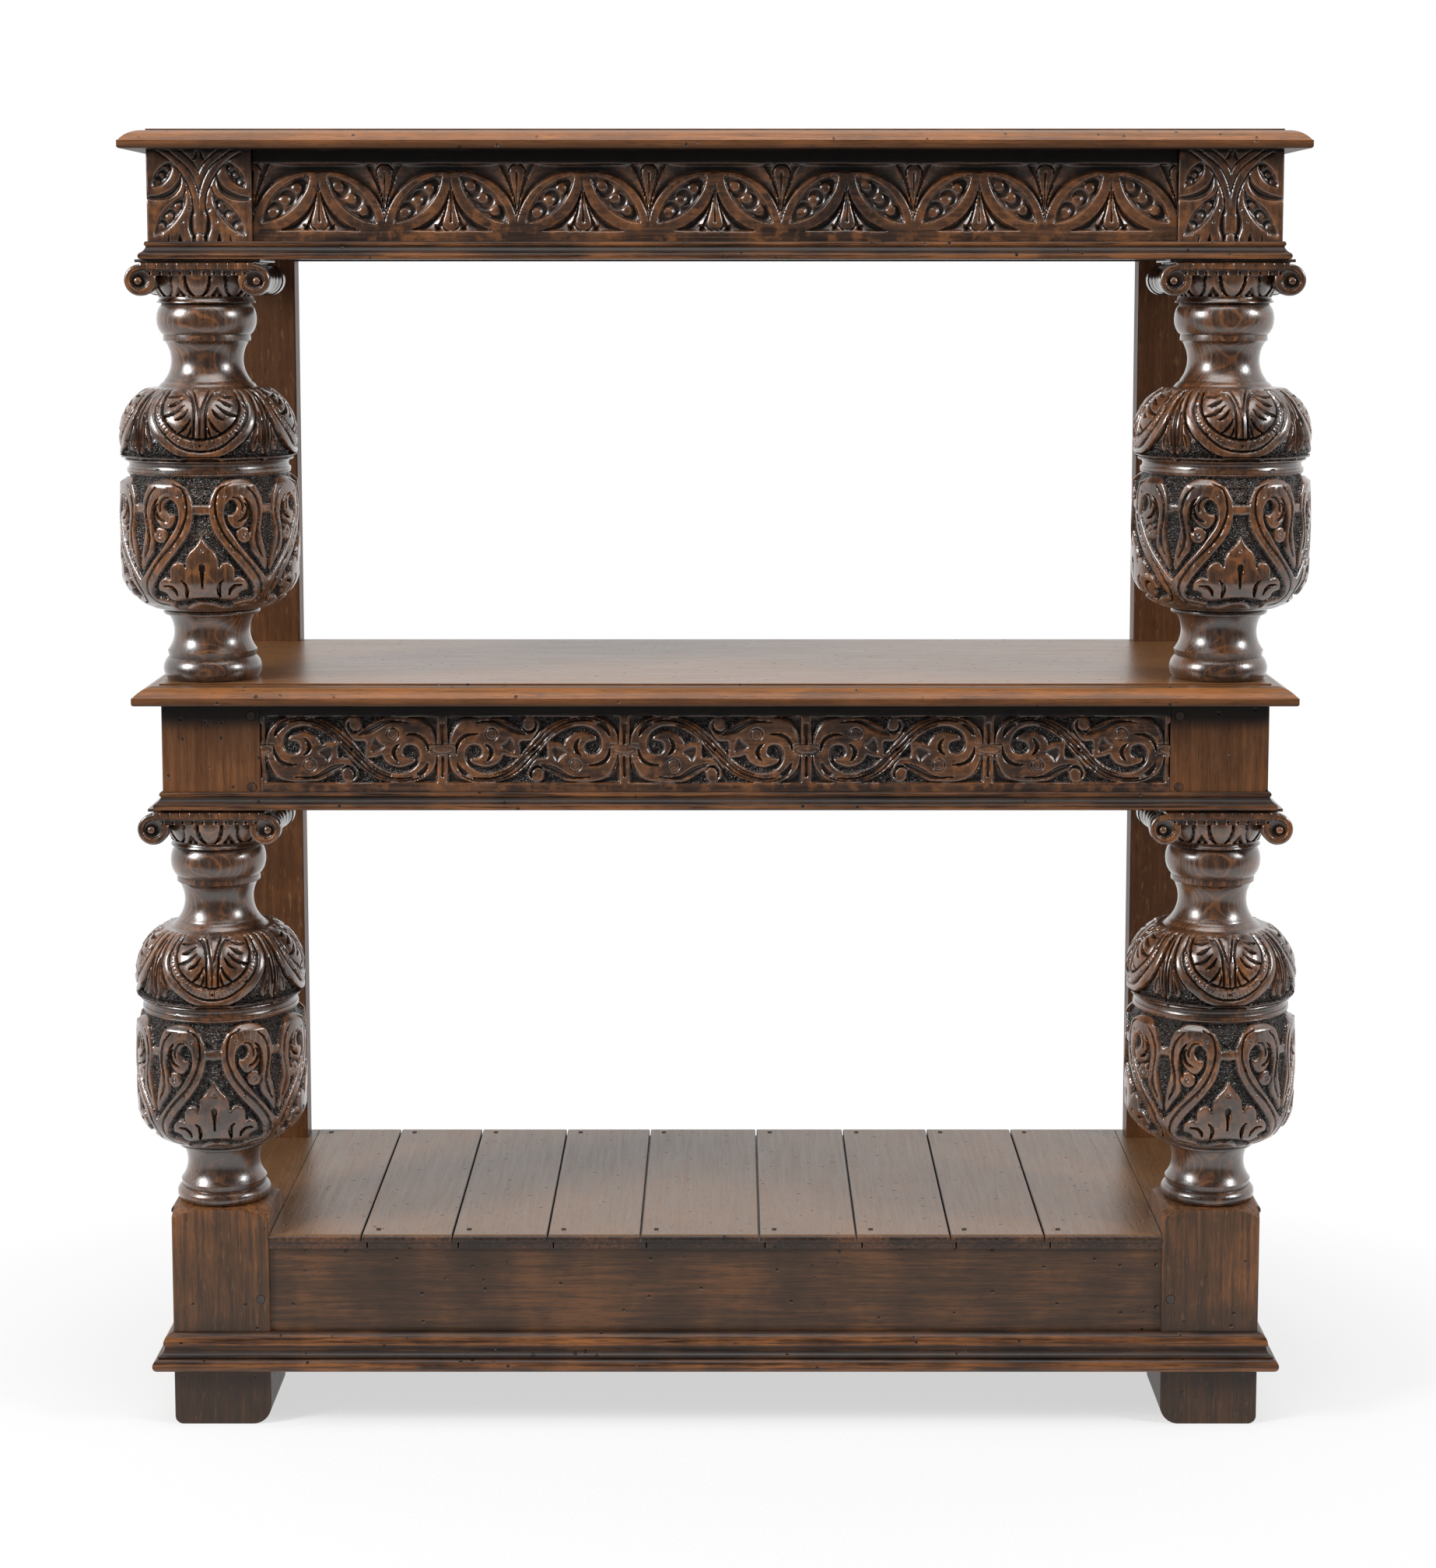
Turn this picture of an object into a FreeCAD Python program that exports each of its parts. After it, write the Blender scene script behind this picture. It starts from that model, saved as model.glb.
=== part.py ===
"""Oak court cupboard: three stages on turned front supports and plain rear posts.

Millimetres. X runs to the right, Y to the back and Z up. The origin is on the floor,
at the middle of the space that the cupboard takes up.
"""
import FreeCAD
import Part
import os

Vec = FreeCAD.Vector

# Frame
frame_width = 1112.0            # across the plinth posts and the middle frieze
frame_depth = 383.0             # front of the posts to the back of the rear posts
post_width = 99.0               # plinth post and middle frieze block
upper_block_width = 103.0       # the carved top blocks stand a little further out
post_depth = 100.0
rear_post_width = 90.0
rear_post_thickness = 33.0
worn_edge = 1.5                 # rounding on the upright edges of posts and blocks
overrun = 5.0                   # how far a cutter runs past what it cuts

# Heights, each one standing on the one before
plinth_post_height = 227.0
lower_baluster_height = 377.0
capital_height = 34.0
abacus_height = 3.0
frieze_height = 107.5
board_thickness = 20.0
upper_baluster_height = 385.5

# Top board and middle board
top_board_overhang = 24.0
middle_board_overhang = 25.0
middle_board_back_inset = 14.0
edge_width = 24.0               # the moulded border
edge_step = 1.7                 # drop from the flat to the ovolo
nose_height = 8.0
nose_step = 1.0
nose_round = 2.6
ovolo_run_share = 0.3
ovolo_rise_share = 0.62
quarter_turn_share = 1 - 0.5 ** 0.5     # where a quarter round passes its middle

# Turned supports, radii of the upper one
bulb_radius = 90.0
lower_girth_share = 0.968       # the lower supports are a little thinner
baluster_outset = 3.0           # turned slightly off the middle of the post, outwards
collar_radius = 48.5
collar_edge_radius = 46.5
collar_height = 6.0
groove_radius = 45.0
groove_height = 7.0
bead_radius = 49.3
bead_height = 22.0
fillet_radius = 43.7
fillet_height = 7.0
neck_radius = 36.0
neck_height = 47.0
neck_narrowest_share = 0.4
flare_radius = 49.0
cover_height = 67.0
cover_step = 3.0
cover_shoulder_radius = 64.0
cover_mid_radius = 82.0
cover_mid_share = 0.34
cover_full_share = 0.86
cover_edge_radius = 88.5
waist_height = 28.0
waist_radius = 79.0
cup_rim_radius = 88.5
cup_round_height = 33.0
cup_round_radius = 80.0
cup_seat_radius = 51.0
cup_fullest_share = 0.4
ring_radius = 48.5
ring_edge_radius = 46.5
ring_height = 6.0
stem_height = 37.0
stem_radius = 38.0
stem_top_radius = 43.5
lip_radius = 45.0
lip_height = 6.0
lip_foot_radius = 43.5
foot_bead_radius = 49.3
foot_radius = 45.3
upper_foot_bead_height = 23.0
lower_foot_bead_height = 14.5

# Dowels on the turned supports
dowel_radius = 14.0
dowel_depth = 24.0              # how far one stands in the post or block
fit = 0.2                       # clearance of tenons, dowels and pegs
socket_relief = 1.5             # empty bottom of a mortise

# Ionic capitals
capital_width = 144.0
capital_depth = 106.0
channel_height = 13.0
bolster_waist_radius = 13.5
bolster_band_radius = 15.6
bolster_band_width = 16.0
volute_width = 13.0             # front and back length of the full-round scroll
eye_radius = 3.6
eye_depth = 2.0
echinus_base_radius = 47.5
echinus_swell_radius = 52.5
echinus_top_radius = 54.0
abacus_width = 106.0
abacus_inset = 5.0

# Shoulders of the plinth posts, turned with the support
shoulder_drop = 12.5
shoulder_seat_radius = 45.5
shoulder_swell_share = 0.55
foot_round = 9.0
foot_inner_round = 19.0

# Frieze and base rails
upper_rail_recess = 8.0
base_rail_recess = 4.0
rail_thickness = 30.0
side_rail_thickness = 26.0
back_rail_thickness = 23.0
tenon_length = 32.0
rear_tenon_length = 20.0
tenon_thickness = 10.0
tenon_shoulder = 14.0

# Mouldings under the friezes and round the base
frieze_moulding_height = 17.5
frieze_moulding_projection = 8.5
frieze_fillet = 3.0
frieze_bead_height = 5.0
frieze_nose_height = 6.0
base_moulding_height = 37.5
base_moulding_projection = 19.0
base_moulding_bottom = 60.5
base_ovolo_height = 12.0
base_ovolo_projection = 9.0
base_quirk = 1.2
base_hollow_height = 10.5
base_hollow_projection = 14.5
base_nose_height = 13.0
base_nose_round = 4.5
base_ovolo_run_share = 0.75
base_ovolo_fall_share = 0.3
base_hollow_fall_share = 0.6

# Shelf of nine boards between the posts, and one more at each end
shelf_thickness = 14.0
shelf_drop = 28.0               # below the top of the plinth posts
shelf_nose_round = 5.0
shelf_lower_step = 1.2
shelf_gap = 1.4
shelf_lap = 6.0
shelf_edge_wear = 0.8
shelf_end_overhang = 19.0
board_width_shares = (0.1042, 0.1020, 0.1064, 0.1042, 0.1327, 0.1086, 0.1053, 0.1053, 0.1313)

# Pegs and nails
peg_radius = 4.6
peg_flats = 8
full_turn = 360
peg_length = 52.0
peg_inset = 9.0
peg_proud = 0.4
upper_peg_drop = 13.0
lower_peg_rise = 5.0            # above the frieze moulding
base_peg_rise_share = 0.39      # how far up the rail, above its moulding
nail_head_width = 4.6
nail_head_height = 0.6
nail_shank_width = 2.4
nail_length = 34.0
nail_front_inset = 21.0
nail_back_inset = 11.0
nail_side_inset = 15.0

# Levels
lower_capital_bottom = plinth_post_height + lower_baluster_height
lower_capital_top = lower_capital_bottom + capital_height + abacus_height
middle_frieze_bottom = lower_capital_top
middle_board_bottom = middle_frieze_bottom + frieze_height
middle_board_top = middle_board_bottom + board_thickness
upper_capital_bottom = middle_board_top + upper_baluster_height
upper_frieze_bottom = upper_capital_bottom + capital_height + abacus_height
top_board_bottom = upper_frieze_bottom + frieze_height
top_board_top = top_board_bottom + board_thickness
base_moulding_top = base_moulding_bottom + base_moulding_height
shelf_top = plinth_post_height - shelf_drop
shelf_bottom = shelf_top - shelf_thickness

# Places across and in depth
outer = frame_width / 2
inner = outer - post_width
upper_outer = inner + upper_block_width
rear_inner = outer - rear_post_width
lower_axis = outer - post_width / 2 + baluster_outset
upper_axis = upper_outer - upper_block_width / 2 + baluster_outset
front_reach = max(bulb_radius - post_depth / 2, top_board_overhang, middle_board_overhang)
front = (front_reach - frame_depth) / 2
post_back = front + post_depth
axis_y = front + post_depth / 2
back = front + frame_depth
rear_front = back - rear_post_thickness


def box(x_from, x_to, y_from, y_to, z_from, z_to):
    """A squared block between two places on each axis."""
    size = Vec(x_to - x_from, y_to - y_from, z_to - z_from)
    return Part.makeBox(size.x, size.y, size.z, Vec(x_from, y_from, z_from))


def cylinder(radius, start, end):
    """A round bar from one point to another."""
    along = end - start
    return Part.makeCylinder(radius, along.Length, start, along)


def outline_face(start, steps, place):
    """A face whose edge goes from start through steps; a step of two points is an arc."""
    edges = []
    here = start
    for step in steps:
        if isinstance(step[0], tuple):
            through, end = step
            arc = Part.Arc(place(*here), place(*through), place(*end))
            edges.append(arc.toShape())
        else:
            end = step
            if end != here:
                edges.append(Part.makeLine(place(*here), place(*end)))
        here = end
    return Part.Face(Part.Wire(edges))


def curve(through_radius, end_radius, z_from, z_to, share=0.5):
    """An arc step that swells or hollows between two heights."""
    z_mid = z_from + (z_to - z_from) * share
    return ((through_radius, z_mid), (end_radius, z_to))


def turned(start, steps, x, y):
    """A solid turned about an upright axis, from an outline of radii and heights."""
    face = outline_face(start, steps, lambda radius, z: Vec(x + radius, y, z))
    return face.revolve(Vec(x, y, 0), Vec(0, 0, 1), 360)


def mirrored(shape):
    """The left-hand twin of a right-hand piece."""
    return shape.mirror(Vec(0, 0, 0), Vec(1, 0, 0))


def ease_upright_edges(solid, radius):
    """Round the upright outer edges of a squared post."""
    limits = solid.BoundBox
    corners = []
    for edge in solid.Edges:
        span = edge.BoundBox
        upright = span.ZLength > limits.ZLength / 2 and span.XLength + span.YLength < radius
        if upright:
            corners.append(edge)
    return solid.makeFillet(radius, corners)


def save(name, shape):
    """Write one node, after a test of its solids."""
    if not shape.isValid():
        raise ValueError(name + " is not a valid shape")
    shape.exportStep("parts/" + name + ".step")
    print(name, len(shape.Solids), "solid(s),", round(shape.Volume / 1000), "cm3")


def save_pair(name, right_shape):
    """Write a right-hand piece and its left-hand twin."""
    save(name + "_right", right_shape)
    save(name + "_left", mirrored(right_shape))


# Boards with a moulded edge


def edge_cutter_steps(thickness):
    """Outline of what the plane takes off a board's edge: (distance in, height)."""
    ovolo_top = thickness - edge_step
    ovolo_run = edge_width - nose_step
    ovolo_rise = ovolo_top - nose_height
    ovolo_mid = (nose_step + ovolo_run * ovolo_run_share, nose_height + ovolo_rise * ovolo_rise_share)
    turn = nose_round * quarter_turn_share
    return (
        (nose_round, 0),
        ((turn, turn), (0, nose_round)),
        (0, nose_height),
        (nose_step, nose_height),
        (ovolo_mid, (edge_width, ovolo_top)),
        (edge_width, thickness + overrun),
        (-overrun, thickness + overrun),
        (-overrun, -overrun),
        (nose_round, -overrun),
    )


def moulded_board(half_width, y_front, y_back, z_bottom, thickness):
    """A board with its front and both ends moulded, and a plain back edge."""
    board = box(-half_width, half_width, y_front, y_back, z_bottom, z_bottom + thickness)
    steps = edge_cutter_steps(thickness)
    start = (nose_round, -overrun)
    length = 2 * (half_width + overrun)
    front_face = outline_face(start, steps, lambda d, h: Vec(-half_width - overrun, y_front + d, z_bottom + h))
    board = board.cut(front_face.extrude(Vec(length, 0, 0)))
    depth = y_back - y_front + 2 * overrun
    end_face = outline_face(start, steps, lambda d, h: Vec(half_width - d, y_front - overrun, z_bottom + h))
    end_cutter = end_face.extrude(Vec(0, depth, 0))
    return board.cut(end_cutter).cut(mirrored(end_cutter))


def top_board():
    """The top, flush with the rear posts at the back."""
    half_width = upper_outer + top_board_overhang
    return moulded_board(half_width, front - top_board_overhang, back, top_board_bottom, board_thickness)


def middle_board():
    """The middle shelf, notched round the rear posts and bored for the dowels."""
    half_width = outer + middle_board_overhang
    y_front = front - middle_board_overhang
    y_back = back - middle_board_back_inset
    board = moulded_board(half_width, y_front, y_back, middle_board_bottom, board_thickness)
    notch = box(rear_inner - fit, outer + fit, rear_front - fit, back + overrun,
                middle_board_bottom - overrun, middle_board_top + overrun)
    bore = dowel_hole(upper_axis, middle_board_bottom - overrun, middle_board_top + overrun)
    for cutter in (notch, bore):
        board = board.cut(cutter).cut(mirrored(cutter))
    return board


# Turned supports and their dowels


def dowel_hole(axis_x, z_from, z_to):
    """The bore that a support's dowel stands in."""
    return cylinder(dowel_radius + fit, Vec(axis_x, axis_y, z_from), Vec(axis_x, axis_y, z_to))


def baluster(axis_x, bottom, top, girth, foot_bead_height, dowel_bottom, dowel_top):
    """A cup-and-cover support from its foot bead up to its collar."""
    z_collar = top - collar_height
    z_groove = z_collar - groove_height
    z_bead = z_groove - bead_height
    z_fillet = z_bead - fillet_height
    z_neck = z_fillet - neck_height
    z_shoulder = z_neck - cover_step
    z_cover = z_neck - cover_height
    z_full = z_neck - cover_height * cover_full_share
    z_waist = z_cover - waist_height
    z_foot = bottom + foot_bead_height
    z_lip = z_foot + lip_height
    z_stem = z_lip + stem_height
    z_ring = z_stem + ring_height
    z_round = z_ring + cup_round_height
    steps = [
        (collar_edge_radius, top),
        curve(collar_radius, collar_edge_radius, top, z_collar),
        (groove_radius, z_collar),
        (groove_radius, z_groove),
        curve(bead_radius, fillet_radius, z_groove, z_bead),
        (fillet_radius, z_fillet),
        curve(neck_radius, flare_radius, z_fillet, z_neck, neck_narrowest_share),
        (cover_shoulder_radius, z_shoulder),
        curve(cover_mid_radius, cover_edge_radius, z_shoulder, z_full, cover_mid_share),
        (cover_edge_radius, z_cover),
        curve(waist_radius, cup_rim_radius, z_cover, z_waist),
        curve(bulb_radius, cup_rim_radius, z_waist, z_round, cup_fullest_share),
        curve(cup_round_radius, cup_seat_radius, z_round, z_ring),
        (ring_edge_radius, z_ring),
        curve(ring_radius, ring_edge_radius, z_ring, z_stem),
        (stem_top_radius, z_stem),
        curve(stem_radius, lip_radius, z_stem, z_lip),
        (lip_foot_radius, z_foot),
        curve(foot_bead_radius, foot_radius, z_foot, bottom),
        (0, bottom),
        (0, top),
    ]
    body = turned((0, top), thinned(steps, girth), axis_x, axis_y)
    dowel = cylinder(dowel_radius, Vec(axis_x, axis_y, dowel_bottom), Vec(axis_x, axis_y, dowel_top))
    return body.fuse(dowel)


def thinned(steps, girth):
    """The same outline with every radius times girth."""
    result = []
    for step in steps:
        if isinstance(step[0], tuple):
            result.append(tuple((radius * girth, z) for radius, z in step))
        else:
            result.append((step[0] * girth, step[1]))
    return result


def capital(axis_x, bottom):
    """An Ionic capital: bolsters at the sides, a channel over the echinus, a thin abacus."""
    radius = capital_height / 2
    scroll_x = capital_width / 2 - radius
    scroll_z = bottom + radius
    top = bottom + capital_height
    y_front = axis_y - capital_depth / 2
    y_back = axis_y + capital_depth / 2
    echinus_top = top - channel_height
    echinus = turned((0, echinus_top), [
        (echinus_top_radius, echinus_top),
        curve(echinus_swell_radius, echinus_base_radius, echinus_top, bottom),
        (0, bottom),
        (0, echinus_top),
    ], axis_x, axis_y)
    channel = box(axis_x - scroll_x, axis_x + scroll_x, y_front, y_back, echinus_top, top)
    abacus = box(axis_x - abacus_width / 2, axis_x + abacus_width / 2,
                 y_front + abacus_inset, y_back - abacus_inset, top, top + abacus_height)
    body = echinus.fuse(channel).fuse(abacus)
    for side in (-1, 1):
        body = body.fuse(bolster(axis_x + side * scroll_x, scroll_z, y_front, y_back, radius))
    bore = dowel_hole(axis_x, bottom - overrun, top + abacus_height + overrun)
    return body.cut(bore).removeSplitter()


def bolster(x, z, y_front, y_back, radius):
    """One scroll, full at both ends, drawn in between, with a band at its middle."""
    y_mid = (y_front + y_back) / 2
    y_band_front = y_mid - bolster_band_width / 2
    y_band_back = y_mid + bolster_band_width / 2
    y_scroll_front = y_front + volute_width
    y_scroll_back = y_back - volute_width
    hollow_front = (y_scroll_front + y_band_front) / 2
    hollow_back = (y_scroll_back + y_band_back) / 2
    steps = [
        (radius, y_front),
        (radius, y_scroll_front),
        ((bolster_waist_radius, hollow_front), (bolster_band_radius, y_band_front)),
        (bolster_band_radius, y_band_back),
        ((bolster_waist_radius, hollow_back), (radius, y_scroll_back)),
        (radius, y_back),
        (0, y_back),
        (0, y_front),
    ]
    face = outline_face((0, y_front), steps, lambda r, y: Vec(x + r, y, z))
    scroll = face.revolve(Vec(x, y_front, z), Vec(0, 1, 0), 360)
    for y_from, y_to in ((y_front - overrun, y_front + eye_depth), (y_back - eye_depth, y_back + overrun)):
        scroll = scroll.cut(cylinder(eye_radius, Vec(x, y_from, z), Vec(x, y_to, z)))
    return scroll


# Posts and blocks


def rail_tenon_reach(recess, thickness):
    """Where a tenon lies in the thickness of a rail: distance in from the post face."""
    middle = recess + thickness / 2
    return middle - tenon_thickness / 2, middle + tenon_thickness / 2


def front_mortise(recess, z_from, z_to, play):
    """The tenon of a front rail in the right-hand post; play widens it to the mortise."""
    near, far = rail_tenon_reach(recess, rail_thickness)
    relief = socket_relief if play else 0
    return box(inner - overrun * bool(play), inner + tenon_length + relief, front + near - play,
               front + far + play, z_from + tenon_shoulder - play, z_to - tenon_shoulder + play)


def side_tenon(face_x, y_from, y_to, z_from, z_to, play):
    """A side rail's tenon between two places in depth; play widens it to the mortise."""
    middle = face_x - side_rail_thickness / 2
    half = tenon_thickness / 2 + play
    return box(middle - half, middle + half, y_from, y_to,
               z_from + tenon_shoulder - play, z_to - tenon_shoulder + play)


def moulding_rebate(face_x, recess, z_from, z_to):
    """What is cut from a front post so that a moulding can lie against the rails."""
    front_cut = box(inner - overrun, outer + post_width, front - overrun, front + recess, z_from, z_to)
    side_cut = box(face_x, outer + post_width, front - overrun, back + overrun, z_from, z_to)
    return front_cut.fuse(side_cut)


def front_post(x_outer, z_bottom, z_top):
    """The squared part of a right-hand front post."""
    return ease_upright_edges(box(inner, x_outer, front, post_back, z_bottom, z_top), worn_edge)


def upper_frieze_block():
    """A top corner block: mortised for two rails, rebated for the moulding, bored below."""
    face_x = upper_outer - upper_rail_recess
    block = front_post(upper_outer, upper_frieze_bottom, top_board_bottom)
    moulding_top = upper_frieze_bottom + frieze_moulding_height
    cutters = (
        front_mortise(upper_rail_recess, upper_frieze_bottom, top_board_bottom, fit),
        side_tenon(face_x, post_back - tenon_length - socket_relief, post_back + overrun,
                   upper_frieze_bottom, top_board_bottom, fit),
        moulding_rebate(face_x, upper_rail_recess, upper_frieze_bottom, moulding_top),
        dowel_hole(upper_axis, upper_frieze_bottom - overrun,
                   upper_frieze_bottom + dowel_depth + socket_relief),
    )
    return block.cut(list(cutters))


def middle_frieze_block():
    """A corner block of the middle frieze, bored above and below."""
    block = front_post(outer, middle_frieze_bottom, middle_board_bottom)
    cutters = [
        front_mortise(0, middle_frieze_bottom, middle_board_bottom, fit),
        side_tenon(outer, post_back - tenon_length - socket_relief, post_back + overrun,
                   middle_frieze_bottom, middle_board_bottom, fit),
        dowel_hole(lower_axis, middle_frieze_bottom - overrun,
                   middle_frieze_bottom + dowel_depth + socket_relief),
        dowel_hole(upper_axis, middle_board_bottom - dowel_depth - socket_relief,
                   middle_board_bottom + overrun),
    ]
    return block.cut(cutters + peg_bores())


def plinth_post():
    """A plinth post: foot, square with a turned shoulder, and the baluster's socket."""
    face_x = outer - base_rail_recess
    post = front_post(outer, 0, plinth_post_height)
    post = post.common(shoulder_turning())
    cutters = [
        front_mortise(base_rail_recess, base_moulding_bottom, shelf_bottom, fit),
        side_tenon(face_x, post_back - tenon_length - socket_relief, post_back + overrun,
                   base_moulding_bottom, shelf_bottom, fit),
        moulding_rebate(face_x, base_rail_recess, base_moulding_bottom, base_moulding_top),
        dowel_hole(lower_axis, plinth_post_height - dowel_depth - socket_relief,
                   plinth_post_height + overrun),
        foot_rounding(),
    ]
    return post.cut(cutters + peg_bores())


def shoulder_turning():
    """The round form that the lathe leaves at the top of a plinth post."""
    reach = post_width
    corner_radius = ((post_width / 2) ** 2 + (post_depth / 2) ** 2) ** 0.5
    corner_z = plinth_post_height - shoulder_drop
    slope = shoulder_drop / (corner_radius - shoulder_seat_radius)
    swell_radius = (shoulder_seat_radius + corner_radius) / 2
    swell_z = plinth_post_height - shoulder_drop / 2 * shoulder_swell_share
    floor_z = corner_z - slope * (reach - corner_radius)
    steps = [
        (shoulder_seat_radius, plinth_post_height),
        ((swell_radius, swell_z), (corner_radius, corner_z)),
        (reach, floor_z),
        (reach, -overrun),
        (0, -overrun),
        (0, plinth_post_height),
    ]
    return turned((0, plinth_post_height), steps, lower_axis, axis_y)


def foot_rounding():
    """What wear and the saw take off the foot's lower edges."""
    ground = box(inner - overrun, outer + overrun, front - overrun, post_back + overrun,
                 -overrun, foot_inner_round)
    length = post_depth + 2 * overrun
    core = box(inner + foot_inner_round, outer - foot_round, front - overrun, post_back + overrun,
               -overrun, foot_inner_round)
    core = core.fuse(cylinder(foot_inner_round, Vec(inner + foot_inner_round, front - overrun, foot_inner_round),
                              Vec(inner + foot_inner_round, front - overrun + length, foot_inner_round)))
    core = core.fuse(cylinder(foot_round, Vec(outer - foot_round, front - overrun, foot_round),
                              Vec(outer - foot_round, front - overrun + length, foot_round)))
    core = core.fuse(box(outer - foot_round - overrun, outer + overrun, front - overrun, post_back + overrun,
                         foot_round, foot_inner_round + overrun))
    return ground.cut(core)


def rear_post():
    """A rear post, a plank that runs from the floor to the top board."""
    post = ease_upright_edges(box(rear_inner, outer, rear_front, back, 0, top_board_bottom), worn_edge)
    cutters = []
    for face_x, z_from, z_to in frieze_levels():
        cutters.append(side_tenon(face_x, rear_front - overrun, rear_front + rear_tenon_length + socket_relief,
                                  z_from, z_to, fit))
        cutters.append(back_tenon(z_from, z_to, fit))
    upper_moulding_top = upper_frieze_bottom + frieze_moulding_height
    for recess_x, z_from, z_to in (
        (upper_outer - upper_rail_recess, upper_frieze_bottom, upper_moulding_top),
        (outer - base_rail_recess, base_moulding_bottom, base_moulding_top),
    ):
        if recess_x < outer:
            cutters.append(box(recess_x, outer + overrun, rear_front - overrun, back + overrun, z_from, z_to))
    return post.cut(cutters + peg_bores())


def frieze_levels():
    """Outer face of the side rail, bottom and top, for each of the three levels."""
    return (
        (upper_outer - upper_rail_recess, upper_frieze_bottom, top_board_bottom),
        (outer, middle_frieze_bottom, middle_board_bottom),
        (outer - base_rail_recess, base_moulding_bottom, shelf_bottom),
    )


# Rails with their tenons


def front_rail(recess, z_from, z_to):
    """A front rail, shouldered against both posts."""
    y_face = front + recess
    rail = box(-inner, inner, y_face, y_face + rail_thickness, z_from, z_to)
    tenon = front_mortise(recess, z_from, z_to, 0)
    rail = rail.fuse(tenon).fuse(mirrored(tenon)).removeSplitter()
    bores = peg_bores()
    return rail.cut(bores + [mirrored(bore) for bore in bores])


def side_rail(face_x, z_from, z_to):
    """A side rail between the front post and the rear post."""
    rail = box(face_x - side_rail_thickness, face_x, post_back, rear_front, z_from, z_to)
    tenons = side_tenon(face_x, post_back - tenon_length, rear_front + rear_tenon_length, z_from, z_to, 0)
    return rail.fuse(tenons).removeSplitter().cut(peg_bores())


def back_tenon(z_from, z_to, play):
    """The right-hand tenon of a back rail; play widens it to the mortise."""
    y_middle = (rear_front + back) / 2
    half = tenon_thickness / 2 + play
    relief = socket_relief if play else 0
    return box(rear_inner - overrun * bool(play), rear_inner + tenon_length + relief, y_middle - half,
               y_middle + half, z_from + tenon_shoulder - play, z_to - tenon_shoulder + play)


def back_rail(z_from, z_to):
    """A back rail between the rear posts."""
    y_middle = (rear_front + back) / 2
    half = back_rail_thickness / 2
    rail = box(-rear_inner, rear_inner, y_middle - half, y_middle + half, z_from, z_to)
    tenon = back_tenon(z_from, z_to, 0)
    return rail.fuse(tenon).fuse(mirrored(tenon)).removeSplitter()


# Mouldings, mitred at the front corners


def frieze_moulding_steps(depth):
    """Outline of the small moulding: bead, hollow and rounded nose."""
    face = depth - frieze_moulding_projection
    bead_edge = face + frieze_fillet / 2
    bead_bottom = frieze_moulding_height - frieze_bead_height
    bead_mid = (face + frieze_fillet, bead_bottom + frieze_bead_height / 2)
    nose_in = depth - frieze_fillet / 2
    hollow_mid = (face + frieze_fillet, (bead_bottom + frieze_nose_height) / 2)
    return (
        (face, frieze_moulding_height),
        (bead_edge, frieze_moulding_height),
        (bead_mid, (bead_edge, bead_bottom)),
        (hollow_mid, (nose_in, frieze_nose_height)),
        ((depth, frieze_nose_height / 2), (nose_in, 0)),
        (0, 0),
        (0, frieze_moulding_height),
    )


def base_moulding_steps(depth):
    """Outline of the base moulding: ovolo, quirk, hollow and a full rounded nose."""
    face = depth - base_moulding_projection
    ovolo_bottom = base_moulding_height - base_ovolo_height
    ovolo_edge = face + base_ovolo_projection
    hollow_bottom = ovolo_bottom - base_hollow_height
    hollow_edge = face + base_hollow_projection
    nose_in = depth - base_nose_round
    ovolo_mid = (face + base_ovolo_projection * base_ovolo_run_share,
                 base_moulding_height - base_ovolo_height * base_ovolo_fall_share)
    hollow_mid = (ovolo_edge, ovolo_bottom - base_hollow_height * base_hollow_fall_share)
    return (
        (face + base_quirk, base_moulding_height),
        (ovolo_mid, (ovolo_edge, ovolo_bottom)),
        (ovolo_edge - base_quirk, ovolo_bottom),
        (hollow_mid, (hollow_edge, hollow_bottom)),
        (hollow_edge - base_quirk, base_nose_height),
        (nose_in, base_nose_height),
        ((depth, base_nose_height / 2), (nose_in, 0)),
        (0, 0),
        (0, base_moulding_height),
    )


def moulding_set(name, steps, post_face_x, recess, projection, z_bottom):
    """Front and side strips of one moulding; their backs lie on the rails."""
    depth = recess + projection
    back_x = post_face_x - recess
    back_y = front + recess
    tip_x = post_face_x + projection
    tip_y = front - projection
    height = steps[-1][1]
    start = (0, height)
    low = z_bottom - overrun
    rise = Vec(0, 0, height + 2 * overrun)
    far = depth + overrun
    front_face = outline_face(start, steps, lambda d, h: Vec(-tip_x, back_y - d, z_bottom + h))
    strip = front_face.extrude(Vec(2 * tip_x, 0, 0))
    mitre = plan_prism(((-back_x, back_y), (back_x, back_y), (back_x + far, back_y - far),
                        (-back_x - far, back_y - far)), low, rise)
    save(name + "_front", strip.common(mitre))
    side_face = outline_face(start, steps, lambda d, h: Vec(back_x + d, tip_y, z_bottom + h))
    strip = side_face.extrude(Vec(0, back - tip_y, 0))
    mitre = plan_prism(((back_x, back_y), (back_x + far, back_y - far), (back_x + far, back + overrun),
                        (back_x, back + overrun)), low, rise)
    save_pair(name, strip.common(mitre))


def plan_prism(corners, z, rise):
    """An upright prism over a plan of corners."""
    points = [Vec(x, y, z) for x, y in corners]
    return Part.Face(Part.makePolygon(points + points[:1])).extrude(rise)


# Shelf


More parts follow.
